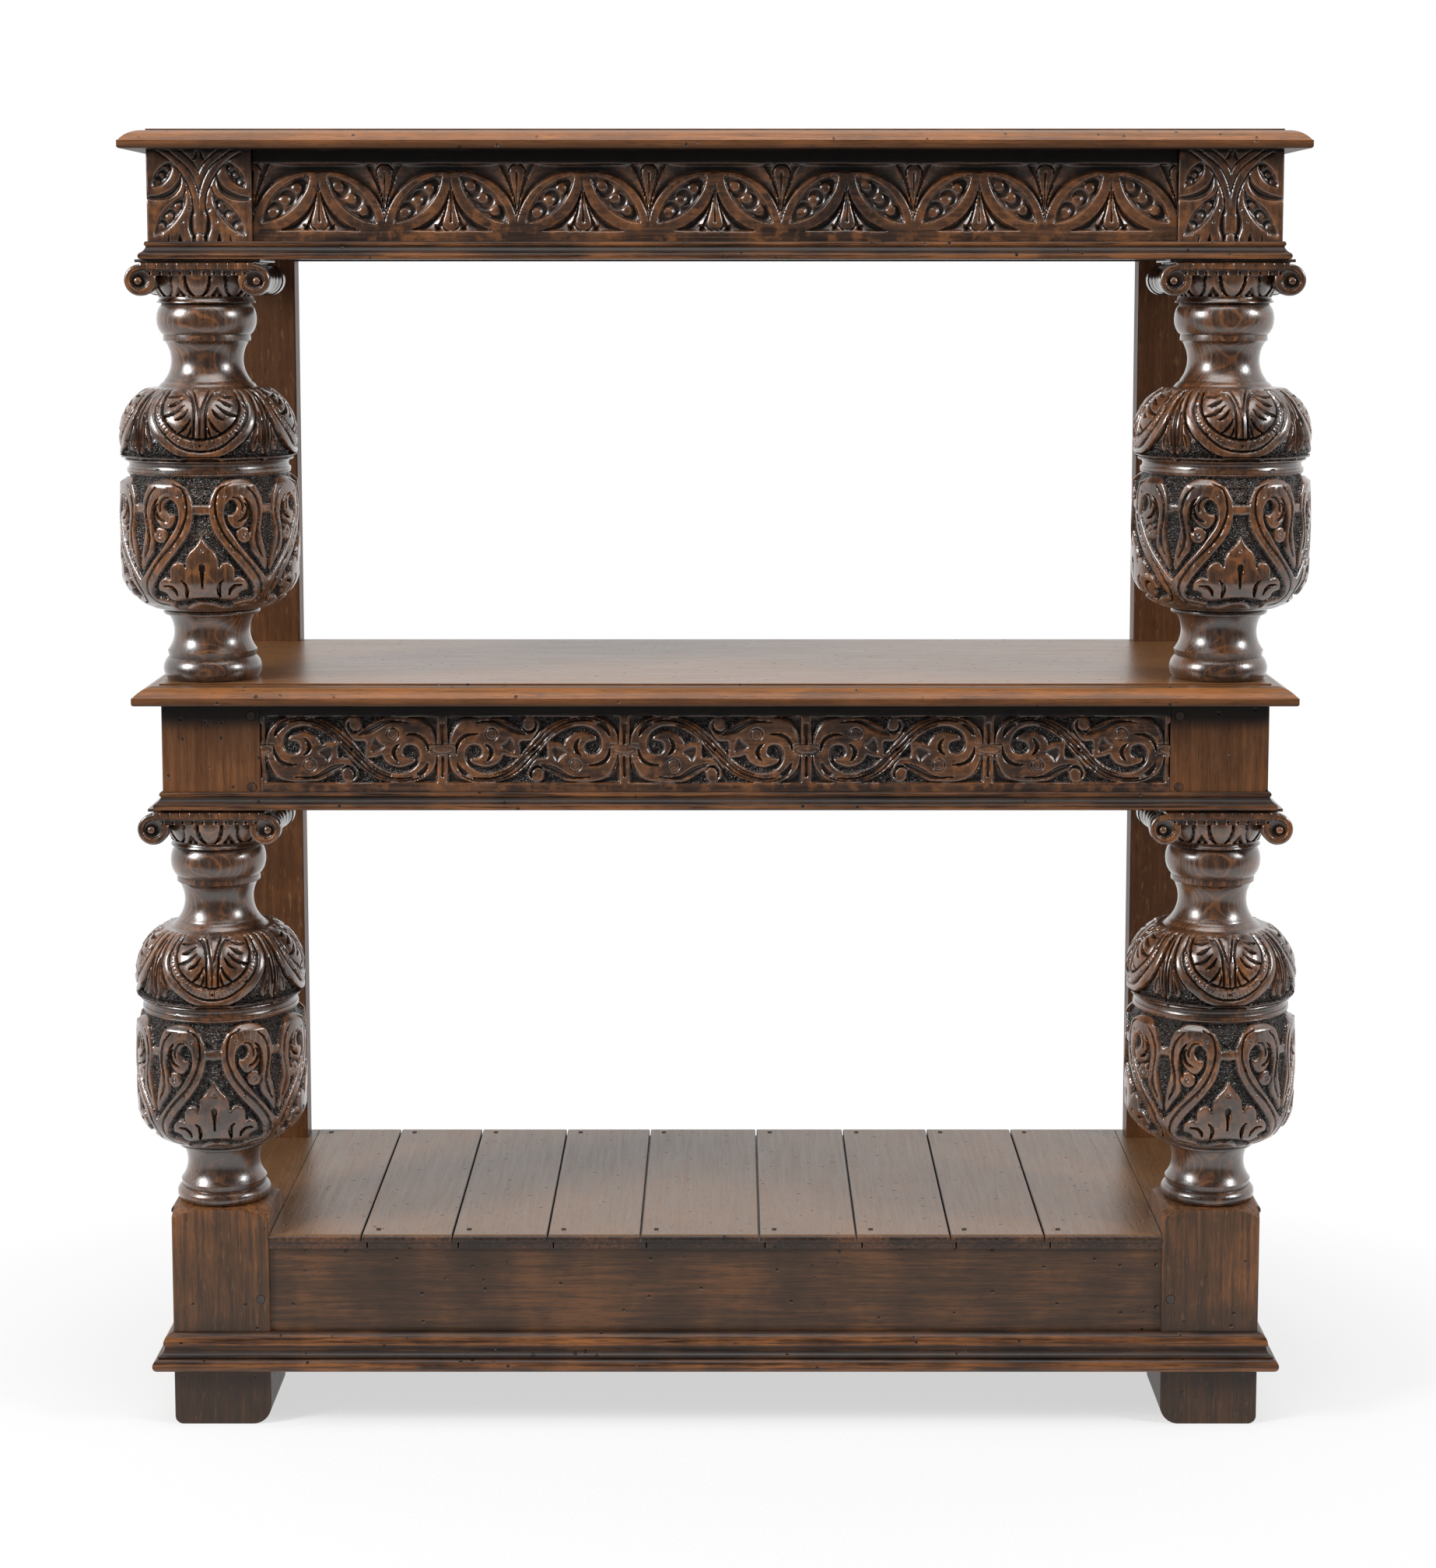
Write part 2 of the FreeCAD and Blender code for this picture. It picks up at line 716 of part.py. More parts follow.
def board_section(x_from, x_to, lap_left, lap_right):
    """Cross-section of a shelf board with worn top edges and half laps."""
    half = shelf_bottom + shelf_thickness / 2
    wear = shelf_edge_wear
    start = (x_from + wear, shelf_top)
    steps = (
        (x_to - wear, shelf_top),
        (x_to, shelf_top - wear),
        (x_to, half),
        (x_to + lap_right, half),
        (x_to + lap_right, shelf_bottom),
        (x_from + lap_left, shelf_bottom),
        (x_from + lap_left, half),
        (x_from, half),
        (x_from, shelf_top - wear),
        start,
    )
    return outline_face(start, steps, lambda x, z: Vec(x, front, z))


def nose_steps():
    """Outline of a shelf board's front end, from the top down: (distance in, height)."""
    half = shelf_bottom + shelf_thickness / 2
    turn = shelf_nose_round * quarter_turn_share
    return (
        ((turn, shelf_top - turn), (0, shelf_top - shelf_nose_round)),
        (0, half),
        (shelf_lower_step, half),
        (shelf_lower_step, shelf_bottom),
    )


def shelf_boards():
    """The nine boards that run from front to back between the posts."""
    reach = frame_depth
    steps = nose_steps() + ((reach, shelf_bottom), (reach, shelf_top), (shelf_nose_round, shelf_top))
    span = 2 * inner
    x_left = -inner
    last = len(board_width_shares) - 1
    boards = []
    for index, share in enumerate(board_width_shares):
        x_right = inner if index == last else x_left + span * share
        lap_left = 0 if index == 0 else shelf_lap
        lap_right = 0 if index == last else shelf_lap
        x_end = x_right if index == last else x_right - shelf_gap
        section = board_section(x_left, x_end, lap_left, lap_right)
        side = outline_face((shelf_nose_round, shelf_top), steps,
                            lambda d, z: Vec(-outer, front + d, z))
        board = section.extrude(Vec(0, reach, 0)).common(side.extrude(Vec(frame_width, 0, 0)))
        boards.append((x_left, board))
        x_left = x_right
    return boards


def shelf_end_board():
    """The board outside the nine, notched round the rear post, nosed on its outer side."""
    x_tip = outer + shelf_end_overhang
    reach = x_tip - inner
    steps = nose_steps() + ((reach, shelf_bottom), (reach, shelf_top), (shelf_nose_round, shelf_top))
    face = outline_face((shelf_nose_round, shelf_top), steps, lambda d, z: Vec(x_tip - d, post_back, z))
    board = face.extrude(Vec(0, back - post_back, 0))
    notch = box(rear_inner - fit, outer + fit, rear_front - fit, back + overrun,
                shelf_bottom - overrun, shelf_top + overrun)
    return board.cut(notch)


# Pegs and nails


def peg_places():
    """Start point and direction of each right-hand peg, at the face it is driven from."""
    high = middle_board_bottom - upper_peg_drop
    low = middle_frieze_bottom + frieze_moulding_height + lower_peg_rise
    x_front = inner + peg_inset
    y_post = post_back - peg_inset
    y_rear = rear_front + peg_inset
    places = []
    base = base_moulding_top + (shelf_bottom - base_moulding_top) * base_peg_rise_share
    for z in (high, low, base):
        places.append((Vec(x_front, front, z), Vec(0, 1, 0)))
        places.append((Vec(outer, y_post, z), Vec(-1, 0, 0)))
        places.append((Vec(outer, y_rear, z), Vec(-1, 0, 0)))
    return places


def peg_bores():
    """The bores for the right-hand pegs."""
    bores = []
    for start, along in peg_places():
        bores.append(cylinder(peg_radius + fit, start - along * overrun, start + along * (peg_length + fit)))
    return bores


def peg(start, along):
    """A whittled peg of eight flats."""
    side = along.cross(Vec(0, 0, 1)) * peg_radius
    foot = start - along * peg_proud
    ring = []
    for corner in range(peg_flats + 1):
        turn = FreeCAD.Rotation(along, corner * full_turn / peg_flats)
        ring.append(foot + turn.multVec(side))
    return Part.Face(Part.makePolygon(ring)).extrude(along * (peg_length + peg_proud))


def pegs():
    """All the oak pegs that pin the tenons, a group of separate solids."""
    right = [peg(start, along) for start, along in peg_places()]
    return Part.makeCompound(right + [mirrored(shape) for shape in right])


def nail_places(boards):
    """Where the shelf boards are nailed to the front and back rails."""
    places = []
    for index, (x_left, _) in enumerate(boards):
        x = x_left + nail_side_inset
        places.append((x, back - nail_back_inset))
        if index > 0:
            places.append((x, front + nail_front_inset))
    return places


def square_bar(x, y, width, z_from, z_to):
    """An upright square bar."""
    half = width / 2
    return box(x - half, x + half, y - half, y + half, z_from, z_to)


def nail(x, y):
    """A cut nail: square shank and low square head."""
    shank = square_bar(x, y, nail_shank_width, shelf_top - nail_length, shelf_top)
    return shank.fuse(square_bar(x, y, nail_head_width, shelf_top, shelf_top + nail_head_height))


def nail_bore(x, y):
    """The hole of one nail, through the board and into the rail."""
    return square_bar(x, y, nail_shank_width, shelf_top - nail_length, shelf_top + overrun)


def build_boards():
    """Top board and middle board."""
    save("top_board", top_board())
    save("middle_board", middle_board())


def build_supports():
    """Turned supports and capitals, upper and lower."""
    lower_dowel_bottom = plinth_post_height - dowel_depth
    lower_dowel_top = middle_frieze_bottom + dowel_depth
    save_pair("lower_baluster", baluster(lower_axis, plinth_post_height, lower_capital_bottom, lower_girth_share,
                                         lower_foot_bead_height, lower_dowel_bottom, lower_dowel_top))
    upper_dowel_bottom = middle_board_bottom - dowel_depth
    upper_dowel_top = upper_frieze_bottom + dowel_depth
    save_pair("upper_baluster", baluster(upper_axis, middle_board_top, upper_capital_bottom, 1,
                                         upper_foot_bead_height, upper_dowel_bottom, upper_dowel_top))
    save_pair("lower_capital", capital(lower_axis, lower_capital_bottom))
    save_pair("upper_capital", capital(upper_axis, upper_capital_bottom))


def build_posts():
    """Corner blocks, plinth posts and rear posts."""
    save_pair("upper_frieze_block", upper_frieze_block())
    save_pair("middle_frieze_block", middle_frieze_block())
    save_pair("plinth_post", plinth_post())
    save_pair("rear_post", rear_post())


def build_rails(nail_bores):
    """The rails of the three levels."""
    recesses = (upper_rail_recess, 0, base_rail_recess)
    names = ("upper_frieze_rail", "middle_frieze_rail", "base_rail")
    for name, recess, (face_x, z_from, z_to) in zip(names, recesses, frieze_levels()):
        front_piece = front_rail(recess, z_from, z_to)
        back_piece = back_rail(z_from, z_to)
        if name == "base_rail":
            front_piece = front_piece.cut(nail_bores)
            back_piece = back_piece.cut(nail_bores)
        save(name + "_front", front_piece)
        save(name + "_back", back_piece)
        save_pair(name, side_rail(face_x, z_from, z_to))


def build_mouldings():
    """The mouldings under the friezes and round the base."""
    upper_depth = upper_rail_recess + frieze_moulding_projection
    moulding_set("upper_frieze_moulding", frieze_moulding_steps(upper_depth), upper_outer, upper_rail_recess,
                 frieze_moulding_projection, upper_frieze_bottom)
    moulding_set("middle_frieze_moulding", frieze_moulding_steps(frieze_moulding_projection), outer, 0,
                 frieze_moulding_projection, middle_frieze_bottom)
    base_depth = base_rail_recess + base_moulding_projection
    moulding_set("base_moulding", base_moulding_steps(base_depth), outer, base_rail_recess,
                 base_moulding_projection, base_moulding_bottom)


def build_shelf(boards, nail_bores):
    """The shelf boards, numbered from the left, and the two end boards."""
    for number, (_, board) in enumerate(boards, start=1):
        save("shelf_board_" + str(number), board.cut(nail_bores))
    save_pair("shelf_end_board", shelf_end_board())


def main():
    """Build every node."""
    os.makedirs("parts", exist_ok=True)
    boards = shelf_boards()
    places = nail_places(boards)
    nail_bores = [nail_bore(x, y) for x, y in places]
    build_boards()
    build_supports()
    build_posts()
    build_rails(nail_bores)
    build_mouldings()
    build_shelf(boards, nail_bores)
    save("joint_pegs", pegs())
    save("shelf_nails", Part.makeCompound([nail(x, y) for x, y in places]))


main()
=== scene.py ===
"""Carved oak court cupboard: the surfaces that show, over the built frame.

Metres in the scene. The carving is drawn below in millimetres, as a carver sets it out on
the face of the wood: across, up and half the width of the stroke. Heights count from the
face outwards, so that what is cut away is negative.
"""
import math
import bpy
import numpy as np
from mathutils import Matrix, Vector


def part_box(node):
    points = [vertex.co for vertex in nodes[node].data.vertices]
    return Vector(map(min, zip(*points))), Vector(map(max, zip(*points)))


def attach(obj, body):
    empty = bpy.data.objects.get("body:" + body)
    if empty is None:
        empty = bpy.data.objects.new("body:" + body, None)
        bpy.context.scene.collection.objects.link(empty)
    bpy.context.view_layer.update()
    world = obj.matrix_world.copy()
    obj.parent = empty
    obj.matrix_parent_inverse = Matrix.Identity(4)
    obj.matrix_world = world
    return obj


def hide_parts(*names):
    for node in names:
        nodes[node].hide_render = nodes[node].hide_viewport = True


bl_info = {
    "name": "Carved Court Cupboard",
    "version": (1, 0, 0),
    "blender": (4, 5, 0),
    "location": "3D View > Sidebar > Cupboard",
    "description": "Carves and finishes the supports, capitals and friezes of an oak court cupboard",
    "category": "Object",
}

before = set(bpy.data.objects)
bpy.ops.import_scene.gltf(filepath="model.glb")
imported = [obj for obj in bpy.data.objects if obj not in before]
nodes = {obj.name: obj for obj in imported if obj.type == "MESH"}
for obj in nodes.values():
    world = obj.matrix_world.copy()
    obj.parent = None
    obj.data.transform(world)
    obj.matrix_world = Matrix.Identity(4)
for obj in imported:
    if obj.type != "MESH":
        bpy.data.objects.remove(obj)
MM = 0.001
FAR = 1000.0
PIT_SOFT = 0.5
# Straight runs that make up each span of a drawn line, and of a closed shape
LINE_RUNS = 7
SHAPE_RUNS = 4

# Middle frieze: outline of one half of an S scroll, from the middle of its unit to the left
SCROLL_SHAPE = (
    (9.9, -3.1), (5.6, 2.3), (-0.4, 8.9), (-5.2, 14.3), (-12.4, 21.2), (-22, 27.5), (-31.6, 31.4),
    (-42.4, 33.7), (-52, 34.4), (-60.5, 33.5), (-68.9, 31.1), (-76.1, 26.9), (-81.5, 20.9),
    (-84.3, 14.3), (-85.3, 7.1), (-85.1, 0.5), (-84.1, -6.7), (-82.3, -13.9), (-79.1, -21.2),
    (-74.3, -27.2), (-67.7, -31), (-58.1, -32.8), (-48.4, -33.2), (-40, -32.7), (-32.8, -32),
    (-24.4, -28.1), (-17.2, -23.6), (-11.8, -20.9), (-9.7, -25.4), (-9, -29.6), (-6.4, -32.6),
    (-2.8, -33.4), (1.4, -32.6), (5, -29.3), (6.6, -24.8), (6.1, -20.6), (5.6, -17.8), (8.7, -18.8),
    (12.3, -11.5),
)
# The punched eye and crescent inside it, and the wedge between the ear and the band
SCROLL_HOLES = (
    ((-16.6, 8.9), (-24.4, 15.9), (-34, 21.3), (-43.6, 23.8), (-53.2, 23.3), (-61.1, 19.7),
     (-66.5, 13.7), (-68.6, 6.5), (-67.7, 0.5), (-64.1, -3.5), (-58.7, -4.9), (-53.5, -2.9),
     (-51.2, 1.7), (-52.3, 5.5), (-55, 7.7), (-59.3, 8.9), (-62.9, 9.5), (-63.5, 11.5), (-60.5, 14.3),
     (-55, 16.3), (-49, 17.9), (-42.4, 16.7), (-35.8, 13.5), (-32.2, 8.9), (-30.4, 5), (-25.6, 7.1),
     (-19.6, 8.1)),
    ((-13.3, 5.8), (-9.7, 1.7), (-4.6, -4.6), (-2, -8.7), (-7.6, -8.4), (-13.3, -8.2), (-14.4, -2.5),
     (-13.6, 2.3)),
)
SCROLL_EAR = (
    (-32.8, -3.4), (-29.2, -0.1), (-24.4, 1.9), (-20.2, 2.6), (-19.4, -1.9), (-20.6, -7.3),
    (-23.8, -12.1), (-25.6, -9.7), (-29.2, -6.1),
)
SCROLL_SLITS = (
    ((-9.7, -21.4, 0.5), (-7, -18, 1.3), (-1.8, -17.8, 1.8), (2, -21.2, 1.6), (3, -26, 1.2),
     (1.4, -29.8, 0.4)),
    ((-4.2, -7.3, 0.4), (-0.4, -10.8, 0.6), (4.2, -16.1, 0.9), (7.1, -21.8, 1.3), (7.8, -27.2, 1.6)),
)
SCROLL_GOUGES = (
    ((-76.7, 13.1, 0.3), (-74.3, 19.1, 2), (-69.1, 24.5, 2.4), (-64.1, 25.7, 0.6)),
    ((-60.5, 28.7, 0.5), (-48.4, 30, 0.9), (-36.4, 27.9, 1.1), (-24.4, 22.5, 1.3), (-14.8, 14.7, 1.3),
     (-7, 6.5, 1.3), (0, -0.5, 1.3)),
    ((-72.5, 26.9, 0.3), (-60.5, 31.2, 0.6), (-48.4, 32.3, 0.6), (-36.4, 30.8, 0.6),
     (-24.4, 26.6, 0.6), (-13.6, 19.1, 0.6), (-5.2, 10.7, 0.6), (0.8, 4.1, 0.6)),
    ((-40, 25.7, 0.3), (-26.8, 20.7, 0.6), (-16, 12.3, 0.6), (-8.2, 3.5, 0.7), (-1.6, -4.1, 0.6)),
    ((-77.5, 2.3, 0.3), (-76.3, -4.3, 1.4), (-72.5, -10.9, 1.8), (-65, -14.9, 1.5), (-55, -15.6, 0.3)),
    ((-47, 11.9, 0.3), (-43.6, 7.7, 1.6), (-42.2, 2.3, 2), (-44.2, -2.5, 1.5), (-48.4, -6.1, 0.3)),
    ((-56.9, -27.8, 0.3), (-44.8, -28.7, 0.9), (-35.2, -27.8, 2), (-26.8, -23.8, 3), (-19.6, -20, 3.2),
     (-12.4, -17.3, 2.2), (-7.3, -14.9, 0.6)),
)

# Clasps between the scrolls, from their own middle
CLASP_RAISED = (
    ((0.3, 33, 4.9), (0, 14.6, 5.3), (0, 3.4, 5.6)),
    ((0, -3.4, 5.4), (0, -16.9, 5.2), (-0.2, -32, 5)),
)
CLASP_GOUGES = (
    ((0.3, 25.9, 1.6), (0, 14.6, 1.7), (0, 5.8, 1.3)),
    ((0, -7.4, 1.1), (0, -18, 1.6), (-0.2, -27.5, 1.3)),
)
CLASP_RIMS = (
    ((-6.5, 5.8, 0.8), (-8.3, 14.6, 0.9), (-12.4, 23, 0.9), (-18.8, 29.4, 0.8), (-26.6, 32.6, 0.3)),
    ((-6.5, -6.7, 0.8), (-8.5, -16.9, 0.9), (-13.5, -25, 0.9), (-20.2, -29.8, 0.8),
     (-27.2, -32.4, 0.3)),
)

# Corner blocks of the upper frieze, from the foot of the middle line
CORNER_GOUGES = (
    ((-0.1, 34.1, 0.4), (0.1, 45.7, 0.7), (4.6, 61, 0.7), (12.1, 73.2, 0.7), (25.7, 84.3, 0.7),
     (33.8, 90.1, 0.6)),
    ((5.9, 26.8, 0.7), (7.2, 44.3, 0.9), (12.5, 58.1, 0.9), (19.9, 69.7, 0.9), (29.4, 79.2, 0.9),
     (41.2, 87.2, 0.8)),
    ((-2.6, 54.4, 0.4), (-1.3, 62.4, 0.7), (2.2, 72.6, 0.7), (9.9, 81.7, 0.7), (18.4, 88.6, 0.5)),
    ((17.3, 65.4, 0.3), (20.6, 54.4, 2.5), (27.9, 46.8, 3.4), (39, 42.8, 2.5), (49.3, 42.1, 1.5)),
    ((12.5, 53, 0.3), (15.8, 44.3, 1.3), (22.4, 38.4, 1.5), (27.9, 34.8, 0.4)),
    ((6.8, 31.9, 0.3), (8.4, 22.4, 1.9), (8.4, 13, 2.4), (6.2, 3.9, 1.6), (6, -2, 1.8)),
    ((19.9, 9.3, 0.2), (19.6, 4.2, 1.3), (19.6, -0.5, 2.5)),
    ((30.5, 6.4, 0.2), (31, 2.8, 0.7), (31.5, -0.5, 1.1)),
    ((1.1, 7.5, 0.6), (4.4, 6.4, 0.7), (5.6, 2.4, 0.9)),
    ((2.2, 87.9, 0.6), (3.3, 82.8, 1.2), (5.9, 79.9, 0.3)),
)
# Its leaves: tip, end and half width; its dots: across, up and radius
CORNER_LEAVES = (((26.5, 78.1), (45.4, 52.4), 6.4), ((12.1, 45.7), (46.5, 4.6), 7.6))
CORNER_DOTS = ((9.9, 31.4, 1.5), (16.9, 19.4, 1.3), (37.6, 7, 0.9))

# Cup of a support, from the middle of a flower, across and down: the strap that loops,
# hangs a tail on one side and runs down on the other
CUP_STRAP = (
    (8.4, 34.1), (8.9, 30), (11.2, 24.1), (15.2, 17.2), (21.2, 12.1), (27.4, 9.5), (34.9, 8.6),
    (42.5, 8.7), (50, 10.5), (55.7, 14.9), (59.6, 21), (62.6, 28.4), (63.5, 35.1), (63, 43.4),
    (61.6, 51.7), (60.8, 60.1), (62.1, 67.4), (64.6, 77.2), (66.7, 87.1), (67.8, 94.5), (66.1, 100.7),
    (63, 97.7), (59, 91.3), (54.4, 86), (50.9, 80.9), (49.3, 76), (48.9, 68.7), (49.6, 61.6),
    (50.9, 53.3), (51.5, 44.9), (49.7, 37.6), (47, 32.7), (42.9, 27.7), (35.9, 24.5), (29.1, 25.2),
    (24.9, 32.8), (22.8, 38.6), (22.3, 45.8), (24, 53), (26.7, 58.5), (31.3, 65.3), (37.9, 75.2),
    (45.3, 84.1), (53.8, 93.3), (62.1, 102.5), (69.6, 110), (79, 116), (80.8, 136), (62, 139),
    (48.9, 139.5), (38.1, 140), (35.7, 134), (43.2, 131.5), (50.6, 130.5), (56.4, 129.5),
    (58.4, 123.8), (54.1, 116.9), (49, 108.9), (42.7, 100.9), (34.8, 91.9), (27.4, 83.1), (20.6, 74.4),
    (15, 65.8), (11.1, 57.4), (8.9, 49), (7.8, 40.6),
)
CUP_HOOK = (
    (24.4, 34), (25.6, 27), (29.1, 22.5), (35.9, 21.6), (43, 26.5), (47, 33.9), (48.4, 42.3),
    (46.8, 49.4), (42.5, 54.6), (36.6, 58), (31.9, 57.4), (28, 53), (25.9, 48.5), (26.3, 44.5),
    (30.7, 44.3), (34.6, 40.9), (36.2, 35.1), (33.3, 30.2), (28.7, 29.7),
)
# The flower between the straps, and the low petal under it
CUP_FLOWER = (
    (-7.5, 76), (-2.8, 70.4), (0, 65.4), (2.8, 70.4), (7.2, 76.4), (12.2, 81.3), (15, 87.4),
    (15.7, 93.5), (16.8, 96.6), (18.5, 93.3), (23, 91.3), (28.3, 92.8), (32.1, 97.8), (32.6, 104.1),
    (32.5, 107.6), (38, 106.3), (43.8, 109.8), (47, 115.1), (47.5, 120.3), (43.5, 121.2),
    (39.5, 123.3), (38.4, 128.3), (29.7, 131.3), (18.3, 129.3), (9.5, 128), (0, 127.3), (-7.5, 127.3),
)
CUP_PETAL = (
    (-7.5, 132), (0, 131.5), (9.4, 134), (19.3, 138.4), (22.6, 143), (0, 146), (-7.5, 146),
)
CUP_TIES = (
    ((0, 39.3, 4.6), (4.7, 39, 4.2), (10.3, 39, 4.6)),
    ((58.3, 39.5, 4.6), (65.8, 39.4, 4.2), (75.2, 39.4, 4.2)),
    ((55.5, 119.5, 0.8), (62, 122, 4.4), (75.2, 123, 4.4)),
)
CUP_SLITS = (
    ((43.7, 28.5, 0.4), (47.9, 33.9, 1.2), (49.8, 42.5, 1.7), (49.4, 52.1, 1.9), (47.8, 61.5, 1.4)),
    ((43.8, 33.7, 0.4), (46.2, 37.4, 0.8), (45.7, 42.8, 1.3), (43.2, 47.4, 1.4), (39.5, 49.9, 1),
     (36, 50.9, 0.3)),
    ((0, 95.5, 2.6), (0, 98, 2.6), (0, 103, 1.4), (0, 117, 0.5)),
    ((20.1, 109.5, 0.4), (16.6, 113.4, 1.3), (16, 119.9, 1.7), (18, 127.5, 0.6)),
    ((40, 114.9, 0.4), (32.2, 115.4, 1.3), (28.2, 119.1, 1.5), (27.2, 124.6, 0.5)),
)
CUP_GOUGES = (
    ((28.2, 13.5, 0.3), (18.6, 19, 0.8), (14.6, 27.7, 1), (13.9, 40.7, 1.1), (16.1, 50.3, 1.1),
     (21.7, 63.6, 1.1), (29.7, 74.8, 1.1), (39.2, 84.9, 1.1), (48.7, 95.3, 1.1), (57.7, 107.1, 1.1),
     (62.3, 116.3, 1), (63.9, 125, 0.8), (58.3, 134, 0.7), (45.1, 136, 0.4)),
    ((47, 17.5, 0.3), (53.9, 24.8, 0.9), (57.9, 34.6, 1.1), (58.6, 45.5, 1.1), (56.5, 57.3, 1.1),
     (55.3, 66.8, 1.3), (56.9, 76.6, 1.3), (62.2, 87.9, 0.4)),
    ((31.5, 27, 0.3), (37.6, 28.5, 0.8), (41.2, 35, 0.9), (40.9, 41.5, 0.6)),
    ((0, 131, 1), (9.4, 132, 0.9), (18.8, 136, 0.9), (23.5, 140, 0.5)),
)
# Ball, ringed eyes and pin holes: across, down and radius
CUP_BALL = (42.3, 64.7, 8.0)
CUP_EYES = ((0, 79.5, 1.7), (42.3, 64.7, 1.9))
CUP_PINS = ((23.3, 25.5, 0.9), (31.5, 80.5, 0.9), (18.8, 55, 0.6))

# Cover of a support, from the middle of a lobe: across and down from the neck
COVER_INNER = (
    (-11.6, -12), (45.8, -12), (45.5, 2), (45.3, 9.5), (44.7, 16.3), (42.1, 23.7), (37.9, 30.8),
    (32.3, 37), (25.7, 42.3), (18.1, 46.6), (10.8, 49.4), (3.4, 51), (-3.9, 51.2), (-11.6, 49),
)
COVER_OUTER = (
    (-11.6, -12), (64.2, -12), (63, 4), (62, 13), (61.5, 21), (59.7, 29.7), (55.7, 39), (49.6, 47.6),
    (41.9, 55.6), (34.3, 61.3), (25.3, 66), (15, 69.2), (0.8, 70.3), (-11.6, 68),
)
# Line between the nicked band and the plain one, edge of a leaf, and edge of the wedge
COVER_MIDDLE = (
    (52.1, -3, 0.8), (51.9, 11.6, 0.8), (52.2, 19.7, 0.8), (49.7, 27.8, 0.8), (45, 35.9, 0.8),
    (38.1, 44, 0.8), (29.3, 52, 0.8), (20.7, 57.8, 0.8), (10.6, 61.3, 0.8), (0, 62.3, 0.8),
)
COVER_LEAF = (
    (42.5, -3, 0.9), (32.8, 0.5, 0.9), (21.2, 3, 0.9), (13, 7, 1), (9.2, 12.5, 1), (7, 19, 1),
    (6.4, 27, 1), (6, 37, 0.9), (6.2, 50, 0.7),
)
COVER_WEDGE = (
    (16.4, -2, 0.7), (9.2, 4, 0.7), (4.8, 12, 0.8), (1.9, 21, 0.9), (0, 28, 1), (0, 38, 0.8),
    (0, 50, 0.6),
)
COVER_CUTS = (
    ((41.5, 8.7, 0.4), (31.8, 9.2, 1.2), (23.2, 6.8, 0.3)),
    ((35.7, 17.8, 0.5), (28.5, 16, 1.9), (20.3, 11.2, 0.3)),
    ((39.6, 27.2, 0.5), (28, 24.8, 1.7), (17.4, 16.8, 0.3)),
    ((25.1, 31, 0.4), (18.3, 27.4, 1.7), (13, 20.2, 0.3)),
    ((21.2, 44, 0.4), (14.3, 38, 1.6), (9.3, 29, 0.3)),
    ((12.1, 48.5, 0.4), (9.7, 43, 1.1), (8.3, 37, 0.3)),
)
COVER_DOTS = ((0, 56.5, 1.2), (35.7, 44.5, 1.2), (48.7, 17.5, 1.1))
# Petals that hang between the lobes
COVER_DROPS = (
    ((82, -10), (66.8, -10), (64.8, 8), (63.2, 22), (62, 36), (61.6, 48), (62.4, 57), (64.6, 64),
     (67.5, 66.8), (69.6, 64.5), (82, 60)),
    ((61.6, 30), (57.6, 42), (54, 50), (52.4, 57.5), (54.4, 62.8), (58, 60.5), (60.4, 52), (61.4, 42)),
)
COVER_DROP_CUTS = (
    ((69.1, 8, 0.4), (69.1, 20, 0.9), (69.1, 38, 1.1), (69.1, 62, 1.7), (69.1, 70, 2.2)),
    ((65.2, 24, 0.3), (65.4, 40, 0.8), (65.6, 56, 0.8), (66.4, 62, 0.3)),
    ((59, 46, 0.3), (56.6, 53, 0.9), (55.6, 59, 0.3)),
)

# Supports: the radius on which the carving is laid out, and the widest one
BULB_REACH = 88.0
BULB_RADIUS = 90.0
# Where the carving lies on them, in millimetres below their top
COVER_TOP = 89.0
COVER_BOTTOM = 157.8
CUP_TOP = 169.0
CUP_EDGE = 174.6
CUP_BOTTOM = 309.0
# How far the carving is turned to the side, in radians
SUPPORT_TURN = -0.068
NICK_PITCH = 4.6
PIN_DEPTH = 1.6
# The ground of the cover is punched from here down
COVER_PUNCHED = 50.0
# Steps between rows where a support is plain, and the height of the carved part below the cup
PLAIN_STEP = 1.6
CUP_MARGIN = 4.0
# Points of a solid nearer its axis than this belong to its dowel
DOWEL_REACH = 20.0
# Lines cut in the lathe: drop, width and depth
TURNED_LINES = ((84.2, 0.5, 0.5), (89.6, 0.8, 1.3), (310.0, 0.7, 0.8))
# Collar, bead and fillet at the top of a support, as (radius, drop)
COLLAR = ((46.4, 0), (46.6, 1.6), (47.5, 3.4), (48.9, 4.8), (49.1, 5.9), (46.0, 6.5), (44.3, 7.1),
          (45.6, 8.7), (47.9, 12.2), (49.3, 17.0), (49.8, 22.0), (49.4, 27.0), (48.1, 31.6),
          (46.0, 35.4), (44.4, 37.3), (43.3, 37.9), (43.6, 38.8), (43.6, 43.8), (42.2, 44.6))
# The waist between cover and cup: a quirk, a thin bead, a cove and a flat band, as (radius, drop)
WAIST = ((88.5, 157.4), (87.2, 158.4), (84.0, 159.2), (83.0, 160.4), (83.8, 161.2), (84.2, 162.1),
         (83.6, 163.0), (81.4, 163.6), (79.9, 164.8), (79.2, 166.4), (79.3, 168.2), (80.0, 169.8),
         (80.2, 170.3), (81.4, 170.7), (81.7, 173.4), (80.9, 174.0), (81.6, 174.8), (82.4, 177.0),
         (84.2, 180.0), (86.6, 182.6), (88.5, 184.4))
# Metres from one year ring to the next
RING_PITCH = 0.0036
# Edges sharper than this stay sharp in the shading, in degrees
TURNED_CREASE = 48
CARVED_CREASE = 50

